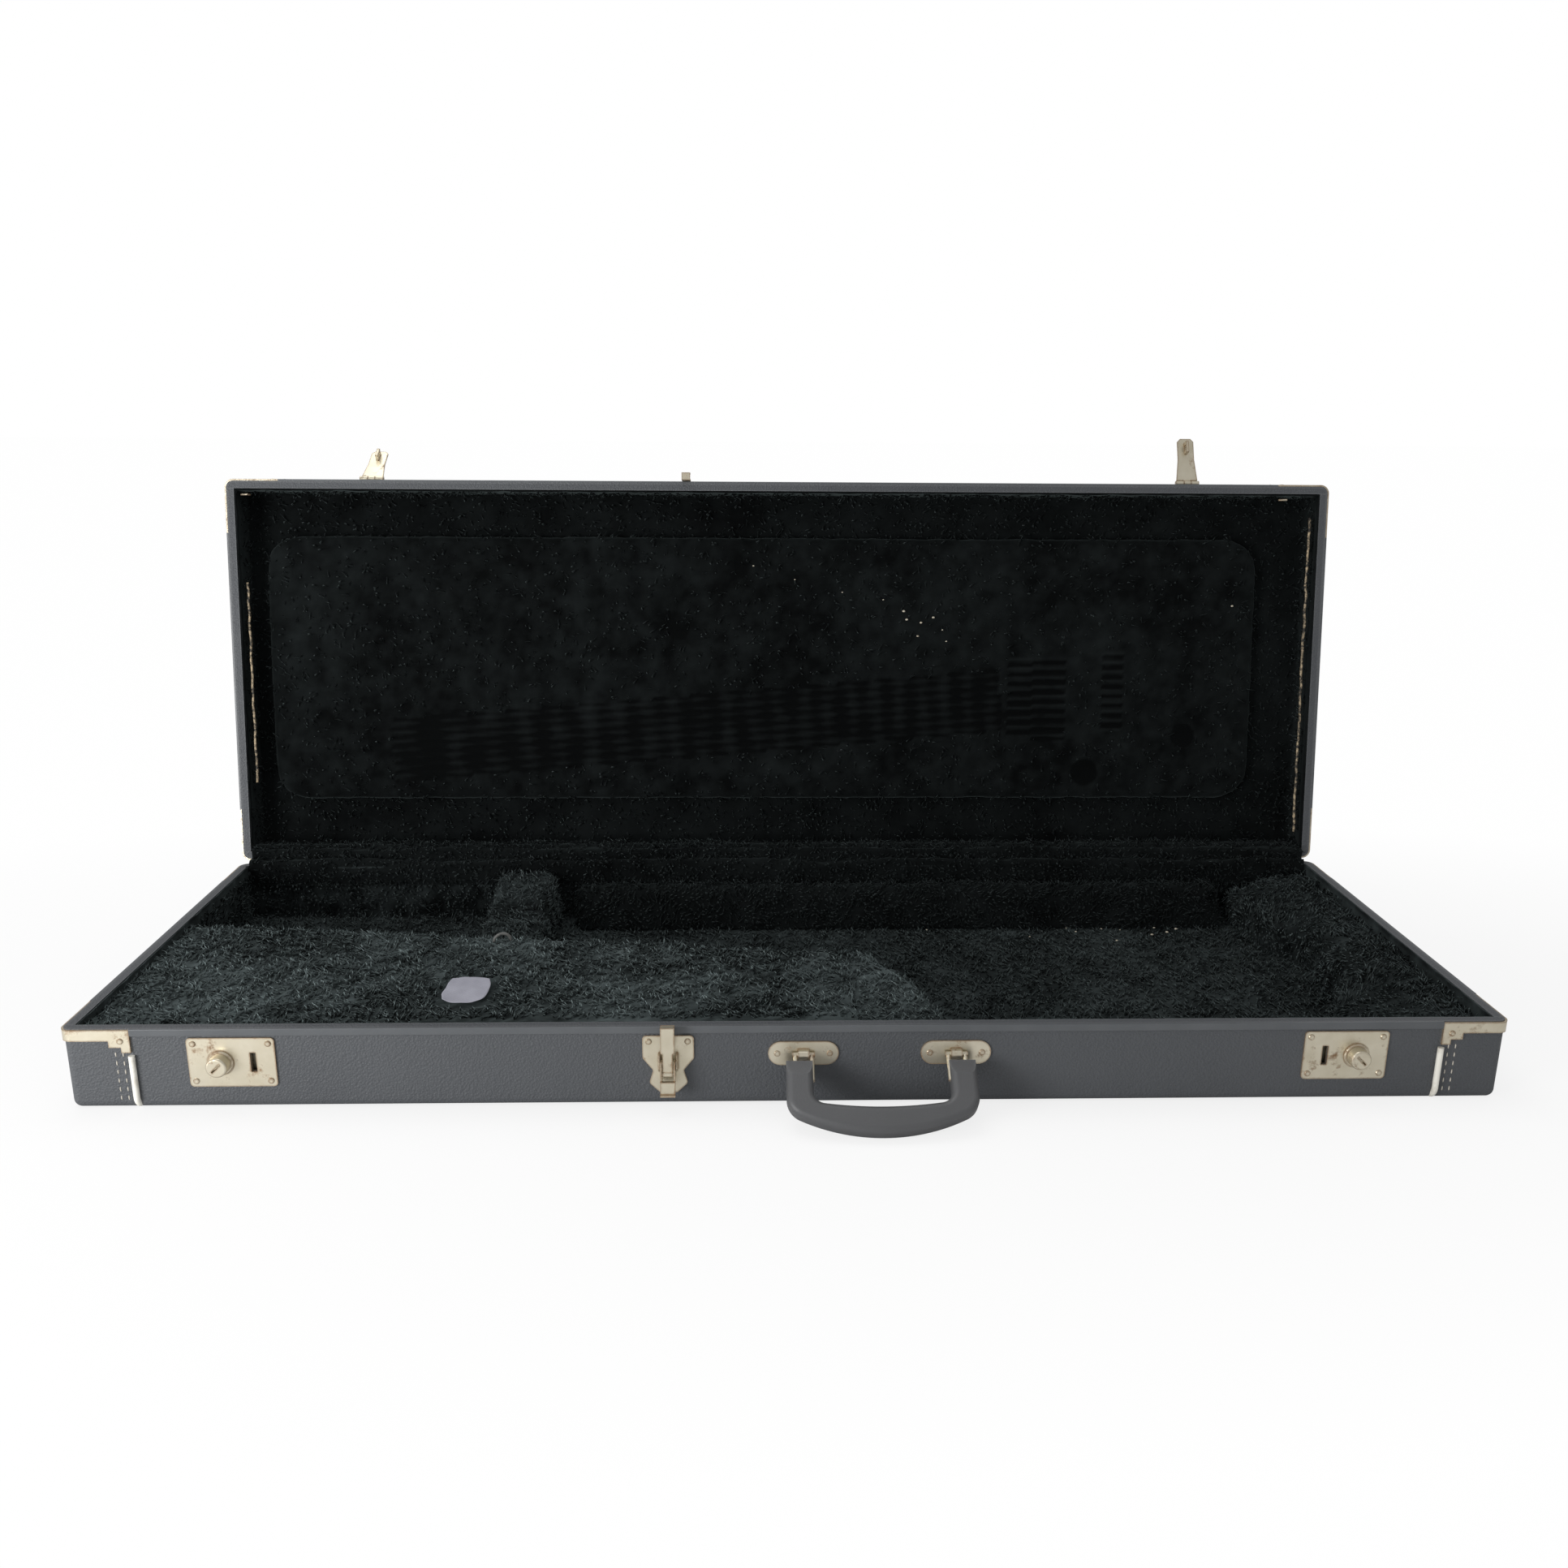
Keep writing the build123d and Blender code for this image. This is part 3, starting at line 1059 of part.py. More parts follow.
front, back, left, right, panel = tray_boards(LID_HEIGHT)
write("lid_front_board", to_lid(less(front, [*lid_grooves, *lid_clip_rivets, *closed_to_tray])))
write("lid_back_board", to_lid(less(back, [*lid_grooves, *lid_clip_rivets, *closed_to_tray])))
write("lid_end_boards", *[to_lid(less(board, lid_clip_rivets)) for board in (left, right)])
write("lid_top_panel", to_lid(less(panel, lid_grooves)))

middle, left_cap, right_cap = tray_vinyl(LID_HEIGHT)
write("lid_vinyl", to_lid(less(middle, [*lid_grooves, *closed_to_tray])))
write("lid_left_end_cap", to_lid(less(left_cap, [*lid_grooves, *lid_clip_rivets])))
write("lid_right_end_cap", to_lid(less(right_cap, [*lid_grooves, *lid_clip_rivets])))
write("lid_piping", *[to_lid(cord) for cord in piping(LID_HEIGHT, PIPING_RADIUS)])
write("lid_rim_bead", *[to_lid(strip) for strip in rim_bead(LID_HEIGHT)])
write("lid_corner_clips", *[to_lid(less(clip, lid_clip_rivets)) for clip in corner_clips(LID_HEIGHT)])
write("lid_lining", to_lid(tray_lining(LID_HEIGHT)))
write("lid_pad", to_lid(lid_pad()))
lid_rivets = [opened(head) for head in [*lid_front_rivets, *lid_hinge_rivets]]
write("lid_rivets", *lid_rivets, *[to_lid(head) for head in lid_clip_rivets])

lid_leaf_low = HINGE_Z + HINGE_KNUCKLE_RADIUS + HINGE_LEAF_GAP
lid_leaves = [hinge_leaf(x, lid_leaf_low, LID_RIM + HINGE_LEAF, (1, 3)) for x in HINGE_POSITIONS]
lid_bores = [
    rod_x(x - HINGE_WIDTH / 2, x + HINGE_WIDTH / 2, BACK + HINGE_OUT, HINGE_Z, HINGE_PIN_RADIUS + PIN_CLEARANCE)
    for x in HINGE_POSITIONS
]
write("hinge_lid_leaves", *[opened(less(leaf, [*lid_bores, *lid_hinge_rivets])) for leaf in lid_leaves])

write("latch_catch", opened(latch_catch()))
write("hasp_plates", *[opened(hasp_plate(side)) for side in (-1, 1)])
write("hasp_pins", *[opened(hasp_pin(side)) for side in (-1, 1)])
for side, name, flip in ((-1, "left", LEFT_HASP_FLIP), (1, "right", RIGHT_HASP_FLIP)):
    write(f"{name}_hasp", opened(hasp(side).rotate(HASP_LINE, -flip)))

print("handle angle", round(handle_angle(), 2))
print("handle axis", HANDLE_CENTRE_X, FRONT - HANDLE_AXIS_OUT, HANDLE_AXIS_Z)
print("lid axis", BACK + HINGE_OUT, HINGE_Z)
print("hasp axis, lid closed", FRONT - HASP_AXIS_OUT, HASP_AXIS_Z)
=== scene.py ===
import math
import random

import bmesh
import bpy
from mathutils import Matrix, Vector, noise


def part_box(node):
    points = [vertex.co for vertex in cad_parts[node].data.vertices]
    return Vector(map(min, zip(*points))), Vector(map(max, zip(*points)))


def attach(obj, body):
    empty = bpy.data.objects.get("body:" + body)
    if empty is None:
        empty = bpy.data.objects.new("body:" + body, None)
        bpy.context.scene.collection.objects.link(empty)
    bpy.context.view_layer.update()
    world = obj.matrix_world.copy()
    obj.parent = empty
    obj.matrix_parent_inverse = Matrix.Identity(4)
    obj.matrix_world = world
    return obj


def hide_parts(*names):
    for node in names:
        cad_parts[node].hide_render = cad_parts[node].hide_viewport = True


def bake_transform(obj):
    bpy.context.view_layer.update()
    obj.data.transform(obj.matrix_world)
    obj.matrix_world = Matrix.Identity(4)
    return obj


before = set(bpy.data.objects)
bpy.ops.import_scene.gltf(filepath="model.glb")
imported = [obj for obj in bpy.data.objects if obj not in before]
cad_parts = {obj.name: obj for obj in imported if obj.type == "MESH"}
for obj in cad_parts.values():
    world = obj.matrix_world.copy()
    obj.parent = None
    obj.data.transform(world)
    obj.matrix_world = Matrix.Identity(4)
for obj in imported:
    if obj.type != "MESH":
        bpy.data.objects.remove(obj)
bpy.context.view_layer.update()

# Camera
# A low viewpoint in front of the case, looking down into it. Place and angles were solved from the
# corners of the two rims in the picture, and the turn and focal length were then eased.
FRAME_PIXELS = 1932
FOCAL_PIXELS = 1651
SENSOR_WIDTH = 36
CAMERA_PLACE = Vector((-0.0356, -1.0575, 0.4886))
CAMERA_TURN, CAMERA_DIP, CAMERA_TILT = 1.70, 15.64, 0.42
camera_data = bpy.data.cameras.new("camera")
camera_data.sensor_width = SENSOR_WIDTH
camera_data.lens = FOCAL_PIXELS / FRAME_PIXELS * SENSOR_WIDTH
camera = bpy.data.objects.new("camera", camera_data)
bpy.context.scene.collection.objects.link(camera)
turn = Matrix.Rotation(math.radians(-CAMERA_TURN), 4, "Z")
dip = Matrix.Rotation(math.radians(90 - CAMERA_DIP), 4, "X")
tilt = Matrix.Rotation(math.radians(CAMERA_TILT), 4, "Z")
camera.matrix_world = Matrix.Translation(CAMERA_PLACE) @ turn @ dip @ tilt
bpy.context.scene.camera = camera


# Floor, background and light
# A pale floor that whitens away from the case, under an even white room, with a large lamp overhead and
# a smaller one, low at the front left.
class Signal:
    """A value inside a finish: adding, multiplying and so on puts in the Math node that does it."""

    def __init__(self, finish, socket):
        self.finish, self.socket = finish, socket

    def math(self, operation, first, second):
        return self.finish.node("Math", {"operation": operation}, {0: first, 1: second})

    def __add__(self, other):
        return self.math("ADD", self, other)

    def __sub__(self, other):
        return self.math("SUBTRACT", self, other)

    def __mul__(self, other):
        return self.math("MULTIPLY", self, other)

    def __rsub__(self, other):
        return self.math("SUBTRACT", other, self)

    __radd__, __rmul__ = __add__, __mul__

    def held(self):
        """The value kept between 0 and 1."""
        return self.finish.node("Clamp", {}, {"Value": self})


class Finish:
    """A material whose shader is built up node by node."""

    def __init__(self, name):
        self.material = bpy.data.materials.new(name)
        self.material.use_nodes = True
        self.tree = self.material.node_tree
        self.shader = self.tree.nodes["Principled BSDF"]

    def node(self, kind, settings=(), values=(), out=0):
        made = self.tree.nodes.new("ShaderNode" + kind)
        for name, value in dict(settings).items():
            setattr(made, name, value)
        for key, value in dict(values).items():
            self.feed(made.inputs[key], value)
        return Signal(self, made.outputs[out])

    def feed(self, socket, value):
        if isinstance(value, Signal):
            self.tree.links.new(value.socket, socket)
        else:
            socket.default_value = value

    def place(self, stretch=(1, 1, 1)):
        spot = self.node("TexCoord", out="Object")
        return self.node("Mapping", {}, {"Vector": spot, "Scale": stretch})

    def noise(self, scale, detail=2.0, rough=0.5):
        values = {"Vector": self.place(), "Scale": scale, "Detail": detail, "Roughness": rough}
        return self.node("TexNoise", {}, values)

    def cells(self, scale):
        return self.node("TexVoronoi", {"feature": "F1"}, {"Vector": self.place(), "Scale": scale})

    def blend(self, mask, first, second):
        return self.node("Mix", {"data_type": "RGBA"}, {0: mask, 6: first, 7: second}, out=2)

    def bump(self, height, depth, strength=1.0):
        values = {"Height": height, "Distance": depth, "Strength": strength}
        self.set(Normal=self.node("Bump", {}, values))

    def edges(self, radius):
        """How near a point lies to a sharp edge: 0 on a flat, up to 1."""
        rounded = self.node("Bevel", {"samples": 4}, {"Radius": radius})
        flat = self.node("NewGeometry", out="Normal")
        same = self.node("VectorMath", {"operation": "DOT_PRODUCT"}, {0: rounded, 1: flat}, out="Value")
        return ((1.0 - same) * 4.0).held()

    def set(self, **values):
        for name, value in values.items():
            self.feed(self.shader.inputs[name.replace("_", " ")], value)


FLOOR_SIZE = 40
FLOOR_SQUASH = (0.36, 1, 1)
FLOOR_NEAR, FLOOR_RISE = 0.75, 0.24
WHITE = (1, 1, 1, 1)
floor_mesh = bmesh.new()
bmesh.ops.create_grid(floor_mesh, x_segments=1, y_segments=1, size=FLOOR_SIZE / 2)


def as_object(name, bm):
    """A new object with the shape's faces, smooth, in the scene."""
    mesh = bpy.data.meshes.new(name)
    bm.to_mesh(mesh)
    bm.free()
    mesh.polygons.foreach_set("use_smooth", [True] * len(mesh.polygons))
    made = bpy.data.objects.new(name, mesh)
    bpy.context.scene.collection.objects.link(made)
    return made


floor = as_object("floor", floor_mesh)
paper = Finish("paper floor")
paper.set(Base_Color=(0.86, 0.86, 0.86, 1), Roughness=0.9, Specular_IOR_Level=0.1)
seen = paper.node("LightPath", out="Is Camera Ray")
apart = paper.node("VectorMath", {"operation": "LENGTH"}, {0: paper.place(FLOOR_SQUASH)}, out="Value")
plain = ((apart * 2.4 - 0.30).held() * FLOOR_RISE + FLOOR_NEAR) * seen
glow = paper.node("Emission", {}, {"Color": WHITE, "Strength": 1.0})
mixed = paper.node("MixShader", {}, {0: plain, 1: Signal(paper, paper.shader.outputs[0]), 2: glow})
paper.feed(paper.tree.nodes["Material Output"].inputs["Surface"], mixed)
floor.data.materials.append(paper.material)

ROOM_LIGHT = 0.56
LAMPS_FACE = Vector((0, 0.05, 0.1))
world = bpy.data.worlds.new("room")
bpy.context.scene.world = world
world.use_nodes = True
room = world.node_tree
background = room.nodes["Background"]
background.inputs["Color"].default_value = WHITE
rays = room.nodes.new("ShaderNodeLightPath")
strength = room.nodes.new("ShaderNodeMapRange")
strength.inputs["To Min"].default_value = ROOM_LIGHT
strength.inputs["To Max"].default_value = 1.0
room.links.new(rays.outputs["Is Camera Ray"], strength.inputs["Value"])
room.links.new(strength.outputs["Result"], background.inputs["Strength"])


def lamp(name, place, watts, width):
    """A square lamp that faces the middle of the case."""
    data = bpy.data.lights.new(name, "AREA")
    data.energy, data.size = watts, width
    made = bpy.data.objects.new(name, data)
    made.location = place
    made.rotation_mode = "QUATERNION"
    made.rotation_quaternion = (LAMPS_FACE - Vector(place)).to_track_quat("-Z", "Y")
    bpy.context.scene.collection.objects.link(made)


lamp("overhead lamp", (-0.5, 0.35, 2.1), 15, 1.4)
lamp("front lamp", (-1.15, -1.05, 0.30), 15, 0.6)
bpy.context.scene.view_settings.view_transform = "Standard"

# Vinyl covering
# Black vinyl cloth with a fine pebbled grain, glued over the boards and turned over their rims. It has
# greyed along its edges.
vinyl = Finish("pebbled black vinyl")
worn = vinyl.noise(7, 4, rough=0.6)
rubbed = vinyl.edges(0.002)
dark = vinyl.blend(worn, (0.052, 0.056, 0.062, 1), (0.075, 0.080, 0.087, 1))
vinyl.set(Base_Color=vinyl.blend(rubbed * 0.5, dark, (0.16, 0.165, 0.17, 1)))
pebbles = vinyl.cells(620)
vinyl.set(Roughness=(0.5 + worn * 0.12).held(), Specular_IOR_Level=0.45)
vinyl.bump(pebbles + vinyl.noise(1500) * 0.5, 0.0005, 0.8)


def dress(finish, *nodes):
    """Gives the CAD nodes a finish in place of the one they came with."""
    for node in nodes:
        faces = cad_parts[node].data
        faces.materials.clear()
        faces.materials.append(finish.material)


covered = ["vinyl", "left_end_cap", "right_end_cap", "front_board", "back_board", "end_boards"]
dress(vinyl, *[f"{half}_{name}" for half in ("base", "lid") for name in covered])
dress(vinyl, "base_underside", "base_bottom_panel", "lid_top_panel")

# Rim beading
# An extruded vinyl strip round the outside of each rim, smoother and a little paler than the covering.
bead = Finish("vinyl beading")
bead.set(Base_Color=bead.blend(bead.noise(40, 5), (0.062, 0.068, 0.074, 1), (0.098, 0.104, 0.111, 1)))
bead.set(Roughness=0.36)
bead.bump(bead.noise(900), 0.0001, 0.4)
dress(bead, "base_rim_bead", "lid_rim_bead")

# Piping
# White vinyl cord sewn into the seam of each end cap, yellowed and dirty in places.
piping = Finish("white piping")
dirt = ((piping.noise(55, 5, rough=0.65) - 0.52) * 5.0).held()
piping.set(Base_Color=piping.blend(dirt * 0.7, (0.80, 0.78, 0.71, 1), (0.42, 0.37, 0.29, 1)))
piping.set(Roughness=0.42)
dress(piping, "base_piping", "lid_piping")

# Seam stitches
# Two rows of thick thread beside each piping, on the cap's side, where the cap is sewn on.
STITCH_PITCH = 0.0068
STITCH_LENGTH = 0.0044
STITCH_RADIUS = 0.00055
STITCH_ROWS = (0.0062, 0.0115)
SEAM = 0.472
HALF_DEPTH = 0.179
BASE_TOP, LID_LOW, LID_TOP = 0.063, 0.0634, 0.1074
HINGE = Vector((0, 0.1824, 0.0632))
OPENING = math.radians(-98.4)
OPENED = Matrix.Translation(HINGE) @ Matrix.Rotation(OPENING, 4, "X") @ Matrix.Translation(-HINGE)
STITCH_START, STITCH_END = 0.020, 0.006
PANEL_MARGIN = 0.02


def stitch(bm, x, y, z, along_y):
    """One stitch, a slim bead of thread that lies along the seam."""
    made = bmesh.ops.create_icosphere(bm, subdivisions=1, radius=1)["verts"]
    size = [STITCH_RADIUS] * 3
    size[1 if along_y else 2] = STITCH_LENGTH / 2
    bmesh.ops.scale(bm, verts=made, vec=size)
    bmesh.ops.translate(bm, verts=made, vec=(x, y, z))


def seam_stitches(name, rim, panel, body, matrix):
    """All the stitches of a tray: down the front, along the panel and up the back."""
    bm = bmesh.new()
    away = 1 if panel < rim else -1
    sunk = STITCH_RADIUS if away > 0 else 0
    drop = abs(rim - panel) - STITCH_START - STITCH_END
    rows = int((2 * HALF_DEPTH - PANEL_MARGIN) / STITCH_PITCH)
    for side in (-1, 1):
        for row in STITCH_ROWS:
            x = side * (SEAM + row)
            for k in range(int(drop / STITCH_PITCH) + 1):
                z = rim - away * (STITCH_START + k * STITCH_PITCH)
                for y in (-HALF_DEPTH, HALF_DEPTH):
                    stitch(bm, x, y, z, False)
            for k in range(rows):
                stitch(bm, x, (k - (rows - 1) / 2) * STITCH_PITCH, panel + sunk, True)
    bm.transform(matrix)
    made = as_object(name, bm)
    made.data.materials.append(thread.material)
    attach(made, body)


thread = Finish("waxed thread")
thread.set(Base_Color=thread.blend(thread.noise(300), (0.36, 0.33, 0.29, 1), (0.62, 0.58, 0.50, 1)))
thread.set(Roughness=0.7)
seam_stitches("base_stitches", BASE_TOP, 0.0, "base", Matrix.Identity(4))
seam_stitches("lid_stitches", LID_LOW, LID_TOP, "lid", OPENED)

# Plated hardware
# Nickel-plated pressed steel, yellowed all over, with brown rust along the sheared edges and in blotches
# between them.
nickel = Finish("tarnished nickel plate")
blotch = nickel.noise(90, 6, rough=0.7)
cloudy = nickel.noise(75, 3)
worn_edge = nickel.edges(0.0022)
rust = ((worn_edge * 1.25 + blotch * 3.6 - 2.04) * 2.0).held()
plate = nickel.blend(cloudy, (0.72, 0.67, 0.55, 1), (0.52, 0.465, 0.345, 1))
nickel.set(Base_Color=nickel.blend(rust, plate, (0.20, 0.115, 0.055, 1)))
nickel.set(Metallic=(0.95 - rust * 0.8).held(), Roughness=(0.30 + cloudy * 0.14 + rust * 0.4).held())
nickel.bump(nickel.noise(420, 4), 0.0001, 0.5)
plated = [
    "base_corner_clips", "base_rivets", "lid_corner_clips", "lid_rivets", "hinge_base_leaves",
    "hinge_lid_leaves", "hinge_pins", "feet", "latch_plate", "latch_pin", "latch_lever", "claw_pin",
    "latch_claw", "latch_catch", "handle_brackets", "handle_loops", "hasp_plates", "hasp_pins",
    "left_hasp", "right_hasp", "pocket_pin",
]
lock_parts = ("plate", "case", "cylinder")
plated += [f"{side}_lock_{part}" for side in ("left", "right") for part in lock_parts]
dress(nickel, *plated)

# Handle
# A black moulded bail with a faint leather grain, rubbed paler along its edges.
grip = Finish("moulded handle")
rub = (grip.edges(0.004) * 0.6 + grip.noise(18) * 0.4).held()
grip.set(Base_Color=grip.blend(rub, (0.055, 0.056, 0.059, 1), (0.120, 0.122, 0.126, 1)))
grip.set(Roughness=(0.42 + grip.noise(60) * 0.14).held())
grip.bump(grip.cells(700), 0.0002, 0.35)
dress(grip, "handle_grip")

# Plush
# Long-pile black plush, glued to boards and foam blocks. The pile stands in soft clumps: painted shade
# darkens the roots and the hollows between them, and painted light turns the tips greenish grey.
def plush_finish(name, sheen, light, tip_light_gain, patchy):
    """The pile's finish: painted shade at the roots and painted light on the tips, in clumps; light
    scales how brightly this copy is painted.
    """
    made = Finish(name)
    tips = made.node("Attribute", {"attribute_name": "tips"}, out="Fac")
    mottle = made.noise(46, 4, rough=0.6)
    drift = made.noise(11, 2)
    clouds = (mottle - 0.5) * patchy + (drift - 0.5) * patchy
    lit = (tips * tip_light_gain + clouds + 0.34 - tip_light_gain * 0.4).held()
    pale = tuple(part * light for part in (0.020, 0.0245, 0.025)) + (1,)
    made.set(Base_Color=made.blend(lit, (0.0016, 0.0019, 0.0020, 1), pale))
    made.set(Roughness=0.95, Specular_IOR_Level=0.05)
    made.set(Sheen_Weight=sheen, Sheen_Roughness=0.45, Sheen_Tint=(0.34, 0.42, 0.42, 1))
    return made


# Copies of the one plush, painted lighter or darker for the light each part gets: darkest in the lid,
# the gusset and the back pad, a little lighter on the lid's pad, lighter on the tray's floor and pads,
# and lightest on the neck block and the pocket's lid.
plush = plush_finish("black long-pile plush", 0.17, 0.5, 0.15, 1.0)
printed_plush = plush_finish("pressed long-pile plush", 0.19, 0.62, 1.5, 0.9)
lighter_plush = plush_finish("lit long-pile plush", 0.37, 1.2, 0.5, 2.3)
lightest_plush = plush_finish("brightly lit long-pile plush", 0.60, 2.6, 0.5, 2.6)
CLUMP = 0.017
TUFT = 0.0065
PILE = 0.0016
TUFT_LENGTH = 0.0062
TUFT_WIDTH = 0.00105
SWIRL_SCALE, SWIRL_TURN = 38.0, 16.0
LID_PAD_TUFTS, LID_TUFTS, GUSSET_TUFTS, TRAY_TUFTS, THICK = 14000, 30000, 60000, 75000, 105000


def pile(made, density, dents=None, bare=None, finish=plush):
    """Lifts a plush surface into soft clumps, and notes where tufts grow and how they stand."""
    mesh = made.data
    layers = {name: mesh.attributes.new(name, "FLOAT", "POINT") for name in ("tips", "growth", "stand")}
    values = {name: [] for name in layers}
    normals = [v.normal.copy() for v in mesh.vertices]
    for vertex, normal in zip(mesh.vertices, normals):
        spot = vertex.co.copy()
        rise = noise.noise(spot / CLUMP) * 0.6 + noise.noise(spot / TUFT + Vector((7, 3, 1))) * 0.4
        laid, ridge = dents(spot) if dents else (0.0, 0.0)
        vertex.co = spot + normal * (PILE * (rise * (1 - laid) + ridge))
        # Painted light: raised clumps and the print's ridges are painted lighter, the hollows and laid
        # pile darker.
        values["tips"].append(0.35 + 0.3 * rise * (1 - laid) + 0.4 * ridge)
        values["growth"].append(0.0 if bare and bare(spot, normal) else density)
        values["stand"].append(1 - 0.5 * laid + 0.25 * rise + 0.25 * ridge)
    for name, layer in layers.items():
        layer.data.foreach_set("value", values[name])
    mesh.materials.clear()
    mesh.materials.append(finish.material)


class TuftNodes:
    """The nodes that plant a leaning three-sided tuft on each point of a surface."""

    def __init__(self):
        self.group = bpy.data.node_groups.new("tufts", "GeometryNodeTree")
        for side in ("INPUT", "OUTPUT"):
            self.group.interface.new_socket("Geometry", in_out=side, socket_type="NodeSocketGeometry")

    def node(self, kind, settings=(), values=()):
        made = self.group.nodes.new(kind)
        for name, value in dict(settings).items():
            setattr(made, name, value)
        for name, value in dict(values).items():
            socket = next(s for s in made.inputs if s.name == name and s.enabled)
            if isinstance(value, bpy.types.NodeSocket):
                self.group.links.new(value, socket)
            else:
                socket.default_value = value
        return made

    def value(self, kind, settings=(), values=()):
        return next(s for s in self.node(kind, settings, values).outputs if s.enabled)

    def math(self, operation, first, second):
        made = self.node("ShaderNodeMath", {"operation": operation})
        for socket, value in zip(made.inputs, (first, second)):
            if isinstance(value, bpy.types.NodeSocket):
                self.group.links.new(value, socket)
            else:
                socket.default_value = value
        return made.outputs[0]

    def turned(self, rotation, **angles):
        way = self.value("ShaderNodeCombineXYZ", {}, angles)
        way = self.value("FunctionNodeEulerToRotation", {}, {"Euler": way})
        values = {"Rotation": rotation, "Rotate By": way}
        return self.value("FunctionNodeRotateRotation", {"rotation_space": "LOCAL"}, values)


tuft_nodes = TuftNodes()
surface = tuft_nodes.value("NodeGroupInput")
growth = tuft_nodes.value("GeometryNodeInputNamedAttribute", {"data_type": "FLOAT"}, {"Name": "growth"})
stand = tuft_nodes.value("GeometryNodeInputNamedAttribute", {"data_type": "FLOAT"}, {"Name": "stand"})
planted = tuft_nodes.node("GeometryNodeDistributePointsOnFaces", {"distribute_method": "RANDOM"},
                          {"Mesh": surface, "Density": growth})
swirl = tuft_nodes.node("ShaderNodeTexNoise", {}, {"Scale": SWIRL_SCALE, "Detail": 1.0}).outputs[0]
around = tuft_nodes.math("MULTIPLY_ADD", swirl, SWIRL_TURN)
spread, lean, grown = (
    tuft_nodes.value("FunctionNodeRandomValue", {"data_type": "FLOAT"},
                     {"Min": low, "Max": high, "Seed": seed})
    for low, high, seed in ((-1.0, 1.0, 1), (0.7, 1.35, 2), (0.6, 1.25, 3))
)
heading = tuft_nodes.turned(planted.outputs["Rotation"], Z=tuft_nodes.math("ADD", around, spread))
heading = tuft_nodes.turned(heading, X=lean)
tuft = tuft_nodes.value("GeometryNodeMeshCone", {"fill_type": "NGON"}, {
    "Vertices": 3, "Side Segments": 1,
    "Radius Top": 0.0, "Radius Bottom": TUFT_WIDTH, "Depth": TUFT_LENGTH,
})
# Each point of a tuft notes how far up it lies, so that the finish paints the root in shade and the tip
# lighter.
position = tuft_nodes.value("GeometryNodeInputPosition")
height = tuft_nodes.node("ShaderNodeSeparateXYZ", {}, {"Vector": position}).outputs["Z"]
tip = tuft_nodes.math("MULTIPLY", height, 1 / TUFT_LENGTH)
tuft = tuft_nodes.value("GeometryNodeStoreNamedAttribute", {"data_type": "FLOAT", "domain": "POINT"},
                        {"Geometry": tuft, "Name": "tips", "Value": tip})
tuft = tuft_nodes.value("GeometryNodeInstanceOnPoints", {}, {
    "Points": planted.outputs["Points"], "Instance": tuft, "Rotation": heading,
    "Scale": tuft_nodes.math("MULTIPLY", grown, stand),
})
tuft = tuft_nodes.value("GeometryNodeRealizeInstances", {}, {"Geometry": tuft})
tuft_nodes.node("NodeGroupOutput", {}, {"Geometry": tuft})


def tufts(surface_object, name, matrix=Matrix.Identity(4), finish=None):
    """The pile that grows on a plush surface, as a piece of its own."""
    made = bpy.data.objects.new(name, surface_object.data.copy())
    bpy.context.scene.collection.objects.link(made)
    finished(made, ("NODES", {"node_group": tuft_nodes.group}))
    made.data.materials.clear()
    made.data.materials.append(finish.material if finish else surface_object.data.materials[0])
    made.data.transform(matrix)
    return made


def finished(made, *modifiers):
    """Works the modifiers into the object's mesh."""
    for kind, settings in modifiers:
        added = made.modifiers.new(kind.lower(), kind)
        for name, value in settings.items():
            setattr(added, name, value)
    view = bpy.context.evaluated_depsgraph_get()
    mesh = bpy.data.meshes.new_from_object(made.evaluated_get(view))
    made.modifiers.clear()
    made.data = mesh
    mesh.polygons.foreach_set("use_smooth", [True] * len(mesh.polygons))


def padded_block(name, node, body, voxel, rounds, matrix=Matrix.Identity(4), dents=None, finish=plush,
                 bare=lambda spot, normal: normal.z < -0.6, density=THICK, shape=None):
    """A plush-covered pad: the CAD block, meshed evenly, with softened edges and pile."""
    bm = bmesh.new()
    bm.from_mesh(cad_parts[node].data)
    bmesh.ops.remove_doubles(bm, verts=bm.verts, dist=1e-6)
    bm.transform(matrix.inverted())
    made = as_object(name, bm)
    finished(made, ("REMESH", {"mode": "VOXEL", "voxel_size": voxel}))
    for vertex in made.data.vertices if shape else ():
        vertex.co = shape(vertex.co)
    finished(made, ("SMOOTH", {"factor": 0.5, "iterations": rounds}))
    pile(made, density, dents, bare, finish)
    hair_finish = plush if finish is printed_plush else finish
    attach(tufts(made, name.replace("plush", "pile"), matrix, hair_finish), body)
    made.data.transform(matrix)
    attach(made, body)
    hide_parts(node)


PATCH_PLACE = Vector((-0.248, -0.112))
PATCH_HALF = Vector((0.0172, 0.0235))
PATCH_MARGIN = 0.003
POCKET_HINGE_EDGE = -0.157
REST_FRONT, REST_RUN, REST_WAIST, REST_RISE = 0.05, 0.11, 0.04, 0.011


def swept_up(spot):
    """The neck rest rises behind the saddle towards the back wall."""
    rise = min(1, max(0, (spot.y - REST_FRONT) / REST_RUN)) * min(1, spot.z / REST_WAIST)
    return spot + Vector((0, 0, REST_RISE * rise))


def under_patch(spot, normal):
    """Where no pile grows on the pocket's lid: sides and underside, by its hinge, under the patch."""
    away = spot.xy - PATCH_PLACE
    covered = abs(away.x) < PATCH_HALF.x + PATCH_MARGIN and abs(away.y) < PATCH_HALF.y + PATCH_MARGIN
    return normal.z < 0.3 or spot.y < POCKET_HINGE_EDGE or covered


